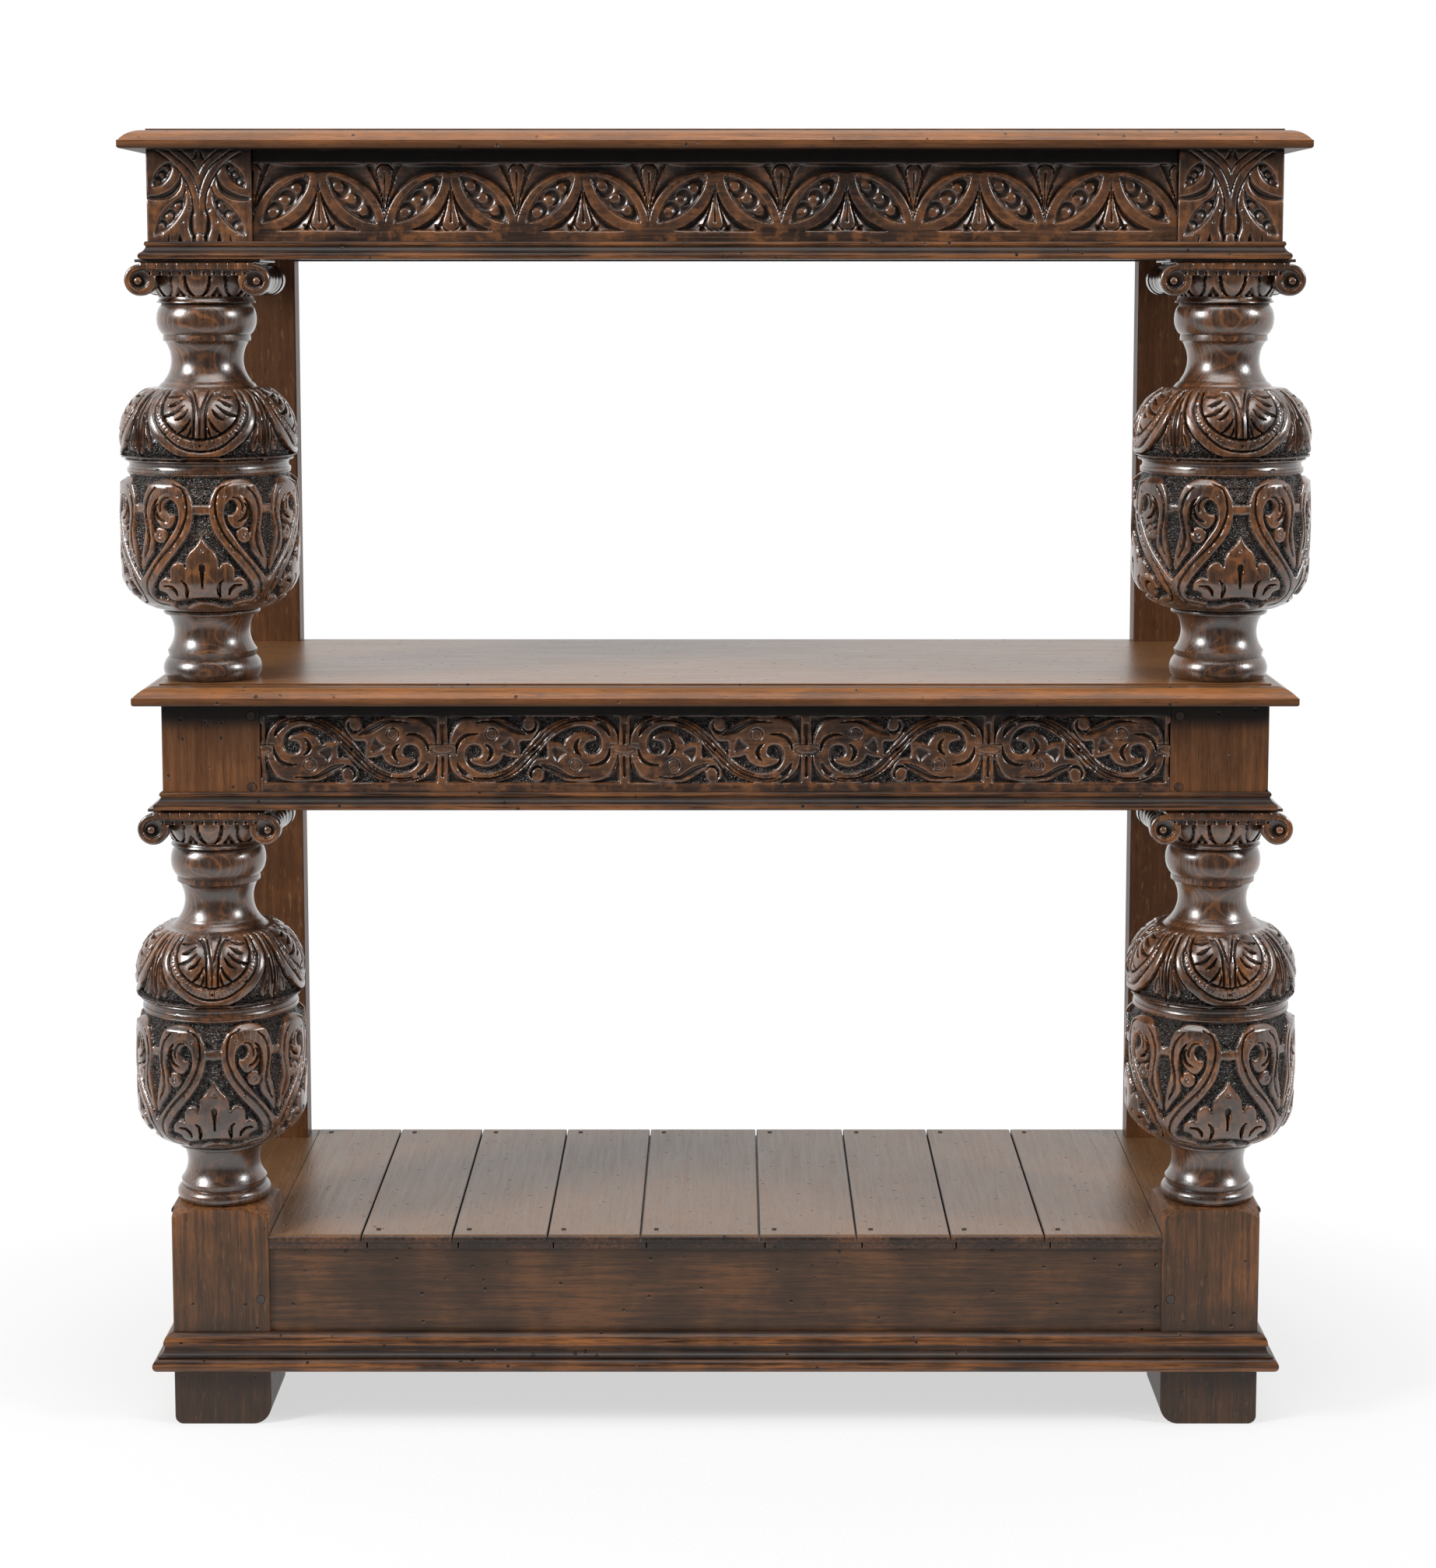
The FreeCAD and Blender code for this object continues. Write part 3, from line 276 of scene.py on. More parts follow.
# Capitals
CAPITAL_HEIGHT = 34.0
CAPITAL_WIDTH = 144.0
CHANNEL_HEIGHT = 13.0
CHANNEL_RISE = 26.8
CUSHION_HEIGHT = 21.0
CUSHION_RADIUS = 47.5
CUSHION_SWELL = 6.5
EGG_REACH = 51.0
EGG_HALF_WIDTH = 10.6
EGG_HEIGHT = 21.2
DART_PLACE = 20.0
SCROLL_REACH = 56.3
SCROLL_RADIUS = 15.5
SCROLL_RISE = 16.5
BOWL_RADIUS = 9.8
BALL_RADIUS = 4.0
BALL_OFFSET = 2.4
TICK_PITCH = 10.0
PLATE_THICKNESS = 13.0
PLATE_STEP = 0.7
PLATE_OVERLAP = 1.0
CHANNEL_INSET = 6.0
ABACUS_INSET = 5.0
ABACUS_WIDTH = 124.0
BOLSTER_RIDGES = 5
# Mesh rows and columns of the two turned parts of a capital
CUSHION_ROWS = 27
CUSHION_COLUMNS = 256
BOLSTER_ROWS = 81
BOLSTER_COLUMNS = 48
BOLSTER_CORE = 4

# Width that the carving of both friezes is divided over
PANEL_WIDTH = 914.0
# Upper frieze, heights from the floor
LUNETTE_PITCH = PANEL_WIDTH / 7
LUNETTE_RADIUS = 55.3
LUNETTE_HIGH = 1272.5
LUNETTE_LOW = 1221.4
PANEL_LOW = 1218.8
PANEL_HIGH = 1284.5
TONGUE = ((0, 1263, 0.3), (0, 1250, 2.4), (0, 1238, 5), (0, 1227.5, 7.8))
TONGUE_PIT = ((9.6, 1220.4, 0.4), (13.6, 1221.6, 1.9), (15, 1224.6, 0.3))
DROP = ((0, 1240, 0.3), (0, 1252, 2), (0, 1264, 4.6), (0, 1275.8, 7.4))
LEAF_TIP = (8.2, 1273.2)
LEAF_END = (57.0, 1226.2)
LEAF_HALF_WIDTH = 11.8
LEAF_BEADS = 3

# Middle frieze
SCROLL_PITCH = PANEL_WIDTH / 5
SCROLL_MIDDLE = 701.2
SCROLL_HALF_HEIGHT = 33.9
EYE = (-41.8, -15.7)
CLASP_REACH = 14.0
CLASP_RISE = 5.4
# How far the painted shadow under a board reaches down a rail, and down a corner block
RAIL_SHADOW = 18.0
BLOCK_SHADOW = 4.0
# Share of the sharpness worn off the carving of the rails and of the corner blocks
RAIL_WEAR = {"upper": 0.3, "middle": 0.12}
BLOCK_WEAR = 0.6
# Seeds of the unevenness of the hand
RAIL_SEED = {"upper": 40, "middle": 70}
BLOCK_SEED = {"left": 50, "right": 55}

# Worn and darkened bands up the height of a moulding: (share of the height, worn, darkening)
BOARD_BANDS = ((0.0, 0.1, 0.5), (0.2, 0.3, 0.3), (0.36, 0.5, 0.15), (0.46, 1.0, 0.0),
               (0.84, 1.0, 0.0), (0.89, 0.2, 0.7), (0.93, 0.3, 0.0), (1.0, 0.1, 0.0))
# On the middle frieze blocks the darkening at the top is a painted shadow under the middle board
BLOCK_BANDS = ((0.0, 0.1, 0.2), (0.1, 0.2, 0.0), (0.74, 0.1, 0.1), (0.86, 0.0, 0.9), (1.0, 0.0, 1.0))
POST_BANDS = ((0.0, 0.05, 0.45), (0.25, 0.0, 0.4), (0.42, 0.0, 0.3), (0.6, 0.25, 0.0), (0.97, 0.5, 0.0),
              (1.0, 0.8, 0.0))
FRIEZE_BANDS = ((0.0, 0.9, 0.0), (0.2, 0.9, 0.0), (0.33, 0.2, 0.2), (0.5, 0.0, 0.7), (0.68, 0.1, 0.5),
                (0.74, 0.8, 0.0), (0.9, 0.7, 0.0), (1.0, 0.1, 0.5))
BASE_BANDS = ((0.0, 0.9, 0.0), (0.22, 0.7, 0.0), (0.33, 0.2, 0.2), (0.42, 0.0, 0.7), (0.62, 0.15, 0.4),
              (0.7, 0.9, 0.0), (0.88, 0.7, 0.0), (1.0, 0.1, 0.5))

# Waxed oak: settings by finish; bands as (node that gives the heights, bands)
CARVED = dict(carved=True, polish=1.0)
BOARD = dict(axis="x", gloss=0.38, warm=0.3, dust_and_sheen=0.5, polish=0.4, shine=0.36, knocked=0.9)
TIMBER = dict(axis="z", gloss=0.44, seed=3.1, polish=0.15, shine=0.34, knocked=0.8)
MOULDING = dict(gloss=0.36, polish=0.15, shine=0.32, knocked=1.0)
FINISHES = {
    "waxed_oak_turned": dict(CARVED, axis="z", gloss=0.26, turned=True, shine=0.8),
    "waxed_oak_carved": dict(CARVED, axis="x", gloss=0.3, shine=0.7),
    "waxed_oak_block": dict(CARVED, axis="z", gloss=0.3, shine=0.7, warm=0.06),
    # The rear posts stand in shade: their oak is warmed to its own reddish tone and lightened as painted
    # light
    "waxed_oak_rear_posts_lightened": dict(axis="z", gloss=0.44, seed=4.6, warm=0.25, polish=0.1, shine=0.3,
                                 flecks=0.5),
    "waxed_oak_rails": dict(axis="x", gloss=0.42, seed=5.3, dry=0.1, polish=0.15, shine=0.35,
                            knocked=0.8),
    "waxed_oak_side_rails": dict(axis="y", gloss=0.42, seed=7.7, polish=0.15, shine=0.35),
    "waxed_oak_shelf": dict(axis="y", gloss=0.4, dust_and_sheen=0.55, seed=9.2, knocked=0.7),
    "oak_pegs": dict(axis="y", gloss=0.45, seed=1.4),
    "waxed_oak_top_board": dict(BOARD, bands=("top_board", BOARD_BANDS)),
    "waxed_oak_middle_board": dict(BOARD, bands=("middle_board", BOARD_BANDS)),
    "waxed_oak_posts": dict(TIMBER, dry=0.13, flecks=0.3, bands=("plinth_post_left", POST_BANDS)),
    "waxed_oak_frieze_blocks": dict(TIMBER, warm=0.25, bands=("middle_frieze_block_left", BLOCK_BANDS)),
}
for level, stops in (("upper_frieze", FRIEZE_BANDS), ("middle_frieze", FRIEZE_BANDS), ("base", BASE_BANDS)):
    for side, axis in (("front", "x"), ("side", "y")):
        FINISHES["waxed_oak_" + level + "_moulding_" + side] = dict(
            MOULDING, axis=axis, bands=(level + "_moulding_front", stops))
# Finish of a plain timber, by how its name starts
TIMBER_FINISHES = (
    ("shelf_nails", "aged_iron"), ("shelf_", "waxed_oak_shelf"), ("joint_pegs", "oak_pegs"),
    ("top_board", "waxed_oak_top_board"), ("middle_board", "waxed_oak_middle_board"),
    ("rear_post", "waxed_oak_rear_posts_lightened"), ("middle_frieze_block", "waxed_oak_frieze_blocks"),
)

# Stage: lamps as (name, place, aim, width and height, watts)
LAMPS = (
    ("key_left", (-3.94, -2.18, 2.9), (-0.1, 0, 0.8), (1.1, 1.65), 225),
    ("fill_right", (4.16, -1.72, 2.85), (0.1, 0, 0.8), (0.75, 1.15), 126),
    ("overhead", (0, -0.9, 3.4), (0, 0, 0.6), (2.4, 1.6), 48),
)
FLOOR_SIZE = 12.0
FLOOR_MIDDLE = 4.5
WORLD_LEVEL = 0.28
FRONT_LEVEL = 0.1
# Where the room seen in the polish turns from white to dim: depth of the direction
ROOM_EDGE = (-0.1, 0.35)
# Share of its own light that the floor has near the cupboard, and the metres over which it grows to 1
SHADOW_SHARE = 0.62
SHADOW_REACH = (0.36, 0.8)
# The shadow is an oval, wider than it is deep, and lies a little in front
SHADOW_SCALE = (0.75, 1.0, 1.0)
SHADOW_SHIFT = (0.0, 0.05, 0.0)
SENSOR_WIDTH = 36
CLIP_END = 60
CAMERA_PLACE = (0.0140, -3.1314, 1.1712)
CAMERA_PITCH = 6.063
CAMERA_SHIFT = (-0.0072, -0.12)


# Settings that a user would change


class CupboardCarving(bpy.types.PropertyGroup):
    """How deep and how finely the carving is cut"""
    frieze_depth: bpy.props.FloatProperty(
        name="Upper frieze depth", description="Depth of the cuts between the lunettes",
        default=0.0052, min=0.001, max=0.012, unit="LENGTH")
    scroll_depth: bpy.props.FloatProperty(
        name="Middle frieze depth", description="Depth of the punched ground round the scrolls",
        default=0.0042, min=0.001, max=0.012, unit="LENGTH")
    cup_depth: bpy.props.FloatProperty(
        name="Cup depth", description="Depth of the punched ground on the cups",
        default=0.0045, min=0.001, max=0.01, unit="LENGTH")
    cover_depth: bpy.props.FloatProperty(
        name="Cover depth", description="Depth of the gouge cuts on the covers",
        default=0.0038, min=0.001, max=0.01, unit="LENGTH")
    frieze_step: bpy.props.FloatProperty(
        name="Frieze mesh step", description="Distance between mesh points on the friezes",
        default=0.00098, min=0.0005, max=0.004, unit="LENGTH")
    bulb_columns: bpy.props.IntProperty(
        name="Columns round a bulb", description="Mesh columns round a turned support",
        default=600, min=96, max=720)
    bulb_faces: bpy.props.IntProperty(
        name="Bulb faces", description="Most triangles of a support after thinning its flat places",
        default=190000, min=20000, max=199000)


class CupboardColours(bpy.types.PropertyGroup):
    """Colours of the oak and the iron"""
    # besides old wax and grime, the recess colour paints the shade in the cuts and the shadow under the
    # boards
    recess: bpy.props.StringProperty(
        name="Recess", description="Old wax and dirt in the cuts, as a hex colour", default="0f0b09")
    dark: bpy.props.StringProperty(
        name="Dark oak", description="Darkest streaks of the face, as a hex colour", default="190e09")
    oak: bpy.props.StringProperty(
        name="Oak", description="Middle tone of the face, as a hex colour", default="342014")
    light: bpy.props.StringProperty(
        name="Light oak", description="Lightest streaks of the face, as a hex colour", default="5a381f")
    worn: bpy.props.StringProperty(
        name="Worn oak", description="Rubbed high places, as a hex colour", default="935b2e")
    # grey-brown of the upper faces: dust in part, a painted sheen in part
    dust_and_sheen: bpy.props.StringProperty(
        name="Grey oak", description="Dry grey-brown of the upper faces, as a hex colour", default="886443")
    iron: bpy.props.StringProperty(
        name="Iron", description="Nail heads, as a hex colour", default="141110")
    floor: bpy.props.StringProperty(
        name="Floor", description="Floor, as a hex colour", default="dadada")
    floor_light: bpy.props.StringProperty(
        name="Floor fibres", description="Lighter fibres of the floor, as a hex colour", default="e6e6e6")


class CupboardStage(bpy.types.PropertyGroup):
    """Camera and light"""
    focal_length: bpy.props.FloatProperty(
        name="Focal length", description="Focal length of the camera", default=0.068413, min=0.02,
        max=0.3, unit="LENGTH")
    lamp_level: bpy.props.FloatProperty(
        name="Lamp level", description="Brightness of all the lamps together", default=1.0, min=0.0,
        max=4.0, subtype="FACTOR")


# Small helpers


def select_only(piece):
    """Make one object the selected and active one."""
    bpy.ops.object.select_all(action="DESELECT")
    piece.select_set(True)
    bpy.context.view_layer.objects.active = piece


def flow(a, b, c, d, share):
    """Points between b and c on a flowing line through four drawn points."""
    bend = 2 * b + (c - a) * share + (2 * a - 5 * b + 4 * c - d) * share ** 2
    return (bend + (3 * b - a - 3 * c + d) * share ** 3) / 2


def smooth(line):
    """Points on a flowing line through the drawn ones, each (across, up, half width)."""
    drawn = np.array(line, float)
    ends = np.vstack((2 * drawn[0] - drawn[1], drawn, 2 * drawn[-1] - drawn[-2]))
    share = np.linspace(0, 1, LINE_RUNS, endpoint=False)[:, None]
    spans = zip(ends[:-3], ends[1:-2], ends[2:-1], ends[3:])
    flowing = np.vstack([flow(*span, share) for span in spans] + [drawn[-1:]])
    flowing[:, 2] = np.maximum(flowing[:, 2], 0)
    return flowing


def outside(u, v, line, along=False, margin=8):
    """How far each place lies outside a tapered stroke; negative inside it."""
    flowing = smooth(line)
    reach = flowing[:, 2].max() + margin
    low = flowing[:, :2].min(axis=0) - reach
    high = flowing[:, :2].max(axis=0) + reach
    gaps = np.full(u.shape, FAR)
    runs = np.zeros(u.shape)
    near = (u > low[0]) & (u < high[0]) & (v > low[1]) & (v < high[1])
    if near.any():
        places = np.stack((u[near], v[near]), axis=-1)[:, None, :]
        starts, steps = flowing[:-1], np.diff(flowing, axis=0)
        lengths = np.maximum((steps[:, :2] ** 2).sum(axis=-1), 1e-9)
        share = ((places - starts[:, :2]) * steps[:, :2]).sum(axis=-1) / lengths
        share = np.clip(share, 0, 1)
        feet = starts[:, :2] + share[..., None] * steps[:, :2]
        distance = np.sqrt(((places - feet) ** 2).sum(axis=-1))
        gap = distance - (starts[:, 2] + share * steps[:, 2])
        best = gap.argmin(axis=1)
        rows = np.arange(len(best))
        gaps[near] = gap[rows, best]
        before = np.concatenate(([0], np.cumsum(np.sqrt(lengths))[:-1]))
        runs[near] = (before + share * np.sqrt(lengths))[rows, best]
    return (gaps, runs) if along else gaps


def enclosed(u, v, corners, margin=12):
    """How far each place lies outside a closed flowing shape; negative inside it."""
    drawn = np.array(corners, float)
    share = np.linspace(0, 1, SHAPE_RUNS, endpoint=False)[:, None, None]
    flowing = flow(*(np.roll(drawn, shift, axis=0) for shift in (1, 0, -1, -2)), share)
    starts = flowing.swapaxes(0, 1).reshape(-1, 2)
    ends = np.roll(starts, -1, axis=0)
    steps = ends - starts
    low, high = starts.min(axis=0) - margin, starts.max(axis=0) + margin
    gaps = np.full(u.shape, FAR)
    near = (u > low[0]) & (u < high[0]) & (v > low[1]) & (v < high[1])
    across, up = u[near], v[near]
    nearest = np.full(across.shape, FAR)
    within = np.zeros(across.shape, bool)
    for start, end, step in zip(starts, ends, steps):
        length = max(float(step @ step), 1e-9)
        share = np.clip(((across - start[0]) * step[0] + (up - start[1]) * step[1]) / length, 0, 1)
        distance = np.hypot(across - start[0] - share * step[0], up - start[1] - share * step[1])
        nearest = np.minimum(nearest, distance)
        if start[1] != end[1]:
            crossing = (start[1] > up) != (end[1] > up)
            edge = start[0] + (up - start[1]) / step[1] * step[0]
            within ^= crossing & (across < edge)
    gaps[near] = np.where(within, -nearest, nearest)
    return gaps


def union(u, v, lines):
    """Outside distance of several strokes taken together."""
    return np.minimum.reduce([outside(u, v, line) for line in lines])


def closest(u, v, shapes):
    """Outside distance of several closed shapes taken together."""
    return np.minimum.reduce([enclosed(u, v, corners) for corners in shapes])


def ease(value):
    """A smooth rise from 0 to 1."""
    value = np.clip(value, 0, 1)
    return value * value * (3 - 2 * value)


def inside(gap, soft=0.7):
    """1 inside a shape, 0 outside it, with a wall as wide as twice soft."""
    return ease((soft - gap) / (2 * soft))


def gouge(gap, half_width, depth):
    """A round-bottomed cut inside a stroke, as deep as depth where it is widest."""
    share = np.clip(-gap / half_width, 0, 1)
    return depth * np.sqrt(1 - (1 - share) ** 2)


def groove(gap, half_width, depth):
    """A round-bottomed cut along the edge of a shape."""
    return gouge(np.abs(gap) - half_width, half_width, depth)


def cut_all(height, u, v, lines, depth):
    """Take round-bottomed cuts from a height field."""
    for line in lines:
        half_width = max(point[2] for point in line)
        gap = outside(u, v, line) - 0.25
        height -= gouge(gap, half_width, depth * min(1, 0.35 + half_width / 3))
    return height


def pit_all(height, u, v, pits, depth):
    """Take small round pits, each (across, up, radius), from a height field."""
    for x, y, radius in pits:
        height = height - inside(np.hypot(u - x, v - y) - radius, PIT_SOFT) * depth
    return height


def lens(u, v, tip, end, half_width):
    """Outside distance of a pointed leaf, and places along and across it from its middle."""
    middle = ((tip[0] + end[0]) / 2, (tip[1] + end[1]) / 2)
    run = (end[0] - tip[0], end[1] - tip[1])
    length = math.hypot(*run)
    run = (run[0] / length, run[1] / length)
    along = (u - middle[0]) * run[0] + (v - middle[1]) * run[1]
    across = (v - middle[1]) * run[0] - (u - middle[0]) * run[1]
    radius = ((length / 2) ** 2 + half_width ** 2) / (2 * half_width)
    offset = radius - half_width
    gap = np.maximum(np.hypot(along, across + offset), np.hypot(along, across - offset)) - radius
    return gap, along, across, length / 2


def leaf_floor(height, u, v, tip, end, half_width, depth):
    """Sink a pointed leaf whose floor holds a row of beads, each with a crescent scooped beside it."""
    gap, along, across, half = lens(u, v, tip, end, half_width)
    width = half_width * (1 - (along / half) ** 2) + 0.01
    crown = np.clip(1 - (across / np.maximum(width, 0.6)) ** 2, 0, 1)
    floor = -depth * (1 - 0.3 * crown)
    for number in range(LEAF_BEADS):
        place = half * (2 * number + 1 - LEAF_BEADS) / (LEAF_BEADS + 1)
        scoop = np.hypot(along - place + half_width * 0.22, across) - half_width * 0.7
        bead = np.hypot(along - place - half_width * 0.16, across) / (half_width * 0.5)
        floor -= inside(scoop, 0.9) * depth * 0.4
        floor = np.where(bead < 1, np.maximum(floor, -depth * (0.45 + 0.55 * bead ** 4)), floor)
    sunk = inside(gap + 0.4, 0.75)
    return height * (1 - sunk) + np.minimum(floor, height) * sunk


def blurred(field, cells, closed):
    """A field averaged over its neighbours; closed joins its left and right edges."""
    for axis in (0, 1):
        for _ in range(2):
            mode = "wrap" if closed and axis == 1 else "edge"
            widths = [(0, 0), (0, 0)]
            widths[axis] = (cells + 1, cells)
            sums = np.cumsum(np.pad(field, widths, mode=mode), axis=axis)
            if axis == 0:
                field = (sums[2 * cells + 1:] - sums[:-2 * cells - 1]) / (2 * cells + 1)
            else:
                field = (sums[:, 2 * cells + 1:] - sums[:, :-2 * cells - 1]) / (2 * cells + 1)
    return field


def hand_noise(shape, cells, seed, closed=False):
    """Seeded unevenness of about 1, as wide as a number of cells."""
    field = np.random.default_rng(seed).normal(size=shape)
    field = blurred(field, cells, closed)
    return field / max(field.std(), 1e-9)


def carving_colours(height, ground, closed):
    """Per point: punched ground, darkening of the hollows (old wax in part, painted shade in part), rubbed
    edge, 1.
    """
    fine, broad, wide = (blurred(height, cells, closed) for cells in (1, 5, 12))
    slope = np.hypot(*np.gradient(fine))
    # hollows are darkened, old wax in part and painted shade in part: narrow cuts, broader hollows and the
    # widest deep hollows each add more, steep walls less
    dirt_and_shade = np.clip((fine - height - 0.08) / 0.8, 0, 1) * 0.5
    dirt_and_shade += np.clip((broad - height - 0.3) / 2.0, 0, 1) * 0.6
    dirt_and_shade += np.clip((wide - height - 0.9) / 2.4, 0, 1) * 0.5
    dirt_and_shade *= np.clip(1.25 - slope * 0.9, 0.3, 1)
    rubbed = np.clip((height - fine) / 0.3, 0, 1) * 0.6 + np.clip((height - broad) / 1.1, 0, 1) * 0.5
    parts = (np.clip(ground, 0, 1), np.clip(dirt_and_shade, 0, 1), np.clip(rubbed, 0, 1), np.ones_like(height))
    return np.stack(parts, axis=-1)


def grid_piece(name, places, colours):
    """A grid primitive set to rows and columns of places, with its carving stored on the points."""
    rows, columns = places.shape[:2]
    bpy.ops.object.select_all(action="DESELECT")
    bpy.ops.mesh.primitive_grid_add(x_subdivisions=columns - 1, y_subdivisions=rows - 1, size=1)
    piece = bpy.context.object
    piece.name = name
    piece.data.name = name
    mesh = piece.data
    mesh.vertices.foreach_set("co", (places * MM).astype(np.float32).ravel())
    carving = mesh.attributes.new("carving", "FLOAT_COLOR", "POINT")
    carving.data.foreach_set("color", colours.astype(np.float32).ravel())
    mesh.update()
    return piece


def close_round(piece):
    """Join the seam of a turned surface and fill its two ends."""
    select_only(piece)
    bpy.ops.object.mode_set(mode="EDIT")
    bpy.ops.mesh.select_all(action="SELECT")
    bpy.ops.mesh.remove_doubles(threshold=1e-6)
    bpy.ops.mesh.select_all(action="SELECT")
    bpy.ops.mesh.fill_holes(sides=0)
    bpy.ops.mesh.select_all(action="SELECT")
    bpy.ops.mesh.normals_make_consistent(inside=False)
    bpy.ops.object.mode_set(mode="OBJECT")


def give_thickness(piece, thickness, flat_back=None):
    """Carry the border of a carved face back and close it, on one level where flat_back is given."""
    select_only(piece)
    bpy.ops.object.mode_set(mode="EDIT")
    bpy.ops.mesh.select_all(action="SELECT")
    bpy.ops.mesh.region_to_loop()
    bpy.ops.mesh.extrude_edges_move(TRANSFORM_OT_translate={"value": (0, thickness * MM, 0)})
    if flat_back is not None:
        bpy.ops.transform.resize(value=(1, 0, 1), center_override=(0, flat_back * MM, 0))
    bpy.ops.mesh.edge_face_add()
    bpy.ops.mesh.select_all(action="SELECT")
    bpy.ops.mesh.normals_make_consistent(inside=False)
    bpy.ops.object.mode_set(mode="OBJECT")


def thin(piece, keep):
    """Drop faces where the surface is flat."""
    select_only(piece)
    bpy.ops.object.modifier_add(type="DECIMATE")
    modifier = piece.modifiers[-1]
    modifier.ratio = keep
    modifier.use_collapse_triangulate = True
    bpy.ops.object.modifier_apply(modifier=modifier.name)


def shade(piece, degrees):
    """Smooth shading that keeps edges sharper than an angle."""
    select_only(piece)
    bpy.ops.object.shade_smooth_by_angle(angle=math.radians(degrees))


def seat(piece, node):
    """Let a piece stand for a CAD node and ride on the body."""
    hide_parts(node)
    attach(piece, "root")


def mesh_places(mesh):
    """Places of a mesh's points, one to a row, in metres."""
    places = np.empty(len(mesh.vertices) * 3, np.float32)
    mesh.vertices.foreach_get("co", places)
    return places.reshape(-1, 3)


def twin(piece, name, shift):
    """A copy with its own mesh, moved along X."""
    select_only(piece)
    bpy.ops.object.duplicate(linked=False)
    copy = bpy.context.object
    copy.name = name
    copy.data.name = name
    places = mesh_places(copy.data)
    places[:, 0] += shift
    copy.data.vertices.foreach_set("co", places.ravel())
    copy.data.update()
    return copy


def seat_pair(piece, left, right):
    """Seat a turned piece on its left node and a copy of it on the right one."""
    other = twin(piece, right + "_carved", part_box(right)[0][0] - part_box(left)[0][0])
    seat(piece, left)
    seat(other, right)


def box_mm(node):
    """Lowest and highest corner of a node in millimetres."""
    low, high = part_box(node)
    return np.array(low) * 1000, np.array(high) * 1000


# Turned supports


def turned_outline(node, axis_x, axis_y):
    """Radii and heights of a turned node from the top down, without its dowel."""
    places = mesh_places(nodes[node].data) * 1000
    radii = np.hypot(places[:, 0] - axis_x, places[:, 1] - axis_y)
    keep = radii > DOWEL_REACH
    pairs = np.unique(np.round(np.stack((-places[keep, 2], radii[keep]), axis=1), 1), axis=0)
    outline = []
    last_radius = None
    for height in np.unique(pairs[:, 0]):
        found = pairs[pairs[:, 0] == height, 1]
        if last_radius is None or found.max() - found.min() < 0.5:
            chosen = [found.max()]
        else:
            chosen = [found.max(), found.min()]
            if abs(found.min() - last_radius) < abs(found.max() - last_radius):
                chosen.reverse()
        for radius in chosen:
            outline.append((radius, -height))
            last_radius = radius
    return np.array(outline)


def lathed(outline):
    """The outline with the finer lines of collar and waist in place of its plain ones."""
    top = outline[0][1]
    girth = outline[:, 0].max() / BULB_RADIUS
    for table in (COLLAR, WAIST):
        drops = top - outline[:, 1]
        lines = [(radius * girth, top - drop) for radius, drop in table]
        above = outline[drops < table[0][1] - 0.05]
        below = outline[drops > table[-1][1] + 0.1]
        outline = np.vstack((above, lines, below))
    return outline


def spaced(outline, fine):
    """The outline with its points evenly spaced: fine where it is carved, wider elsewhere."""
    top = outline[0][1]

    def step_at(height):
        carved = COVER_TOP < top - height < CUP_BOTTOM + CUP_MARGIN
        return fine if carved else PLAIN_STEP

    points = [outline[0]]
    for start, end in zip(outline[:-1], outline[1:]):
        count = max(1, int(round(math.dist(start, end) / step_at((start[1] + end[1]) / 2))))
        for index in range(1, count + 1):
            points.append(start + (end - start) * index / count)
    points = np.array(points)
    kept = [0]
    for index in range(1, len(points) - 1):
        corner = 1.0
        before = points[index] - points[kept[-1]]
        after = points[index + 1] - points[index]
        lengths = np.hypot(*before) * np.hypot(*after)
        if lengths > 0:
            corner = float(before @ after) / lengths
        if np.hypot(*before) > 0.7 * step_at(points[index][1]) or corner < 0.9:
            kept.append(index)
    kept.append(len(points) - 1)
    return points[kept]


def outline_normals(outline):
    """Outward directions along a turned outline that runs from the top down."""
    runs = np.gradient(outline, axis=0)
    normals = np.stack((-runs[:, 1], runs[:, 0]), axis=1)
    return normals / np.maximum(np.hypot(normals[:, 0], normals[:, 1])[:, None], 1e-9)


def turned_dirt_and_shade(outline):
    """How dark a turned outline is at each point: its quirks and coves are darkened, old wax in part and
    painted shade in part.
    """
    along = np.concatenate(([0], np.cumsum(np.hypot(*np.diff(outline, axis=0).T))))
    even = np.arange(0, along[-1], 0.5)
    radius = np.interp(even, along, outline[:, 0])
    hollow = blurred(radius[None, :], 5, False)[0] - radius
    dirt_and_shade = np.clip((hollow - 0.25) / 0.9, 0, 1) * 0.85
    return np.interp(along, even, dirt_and_shade)


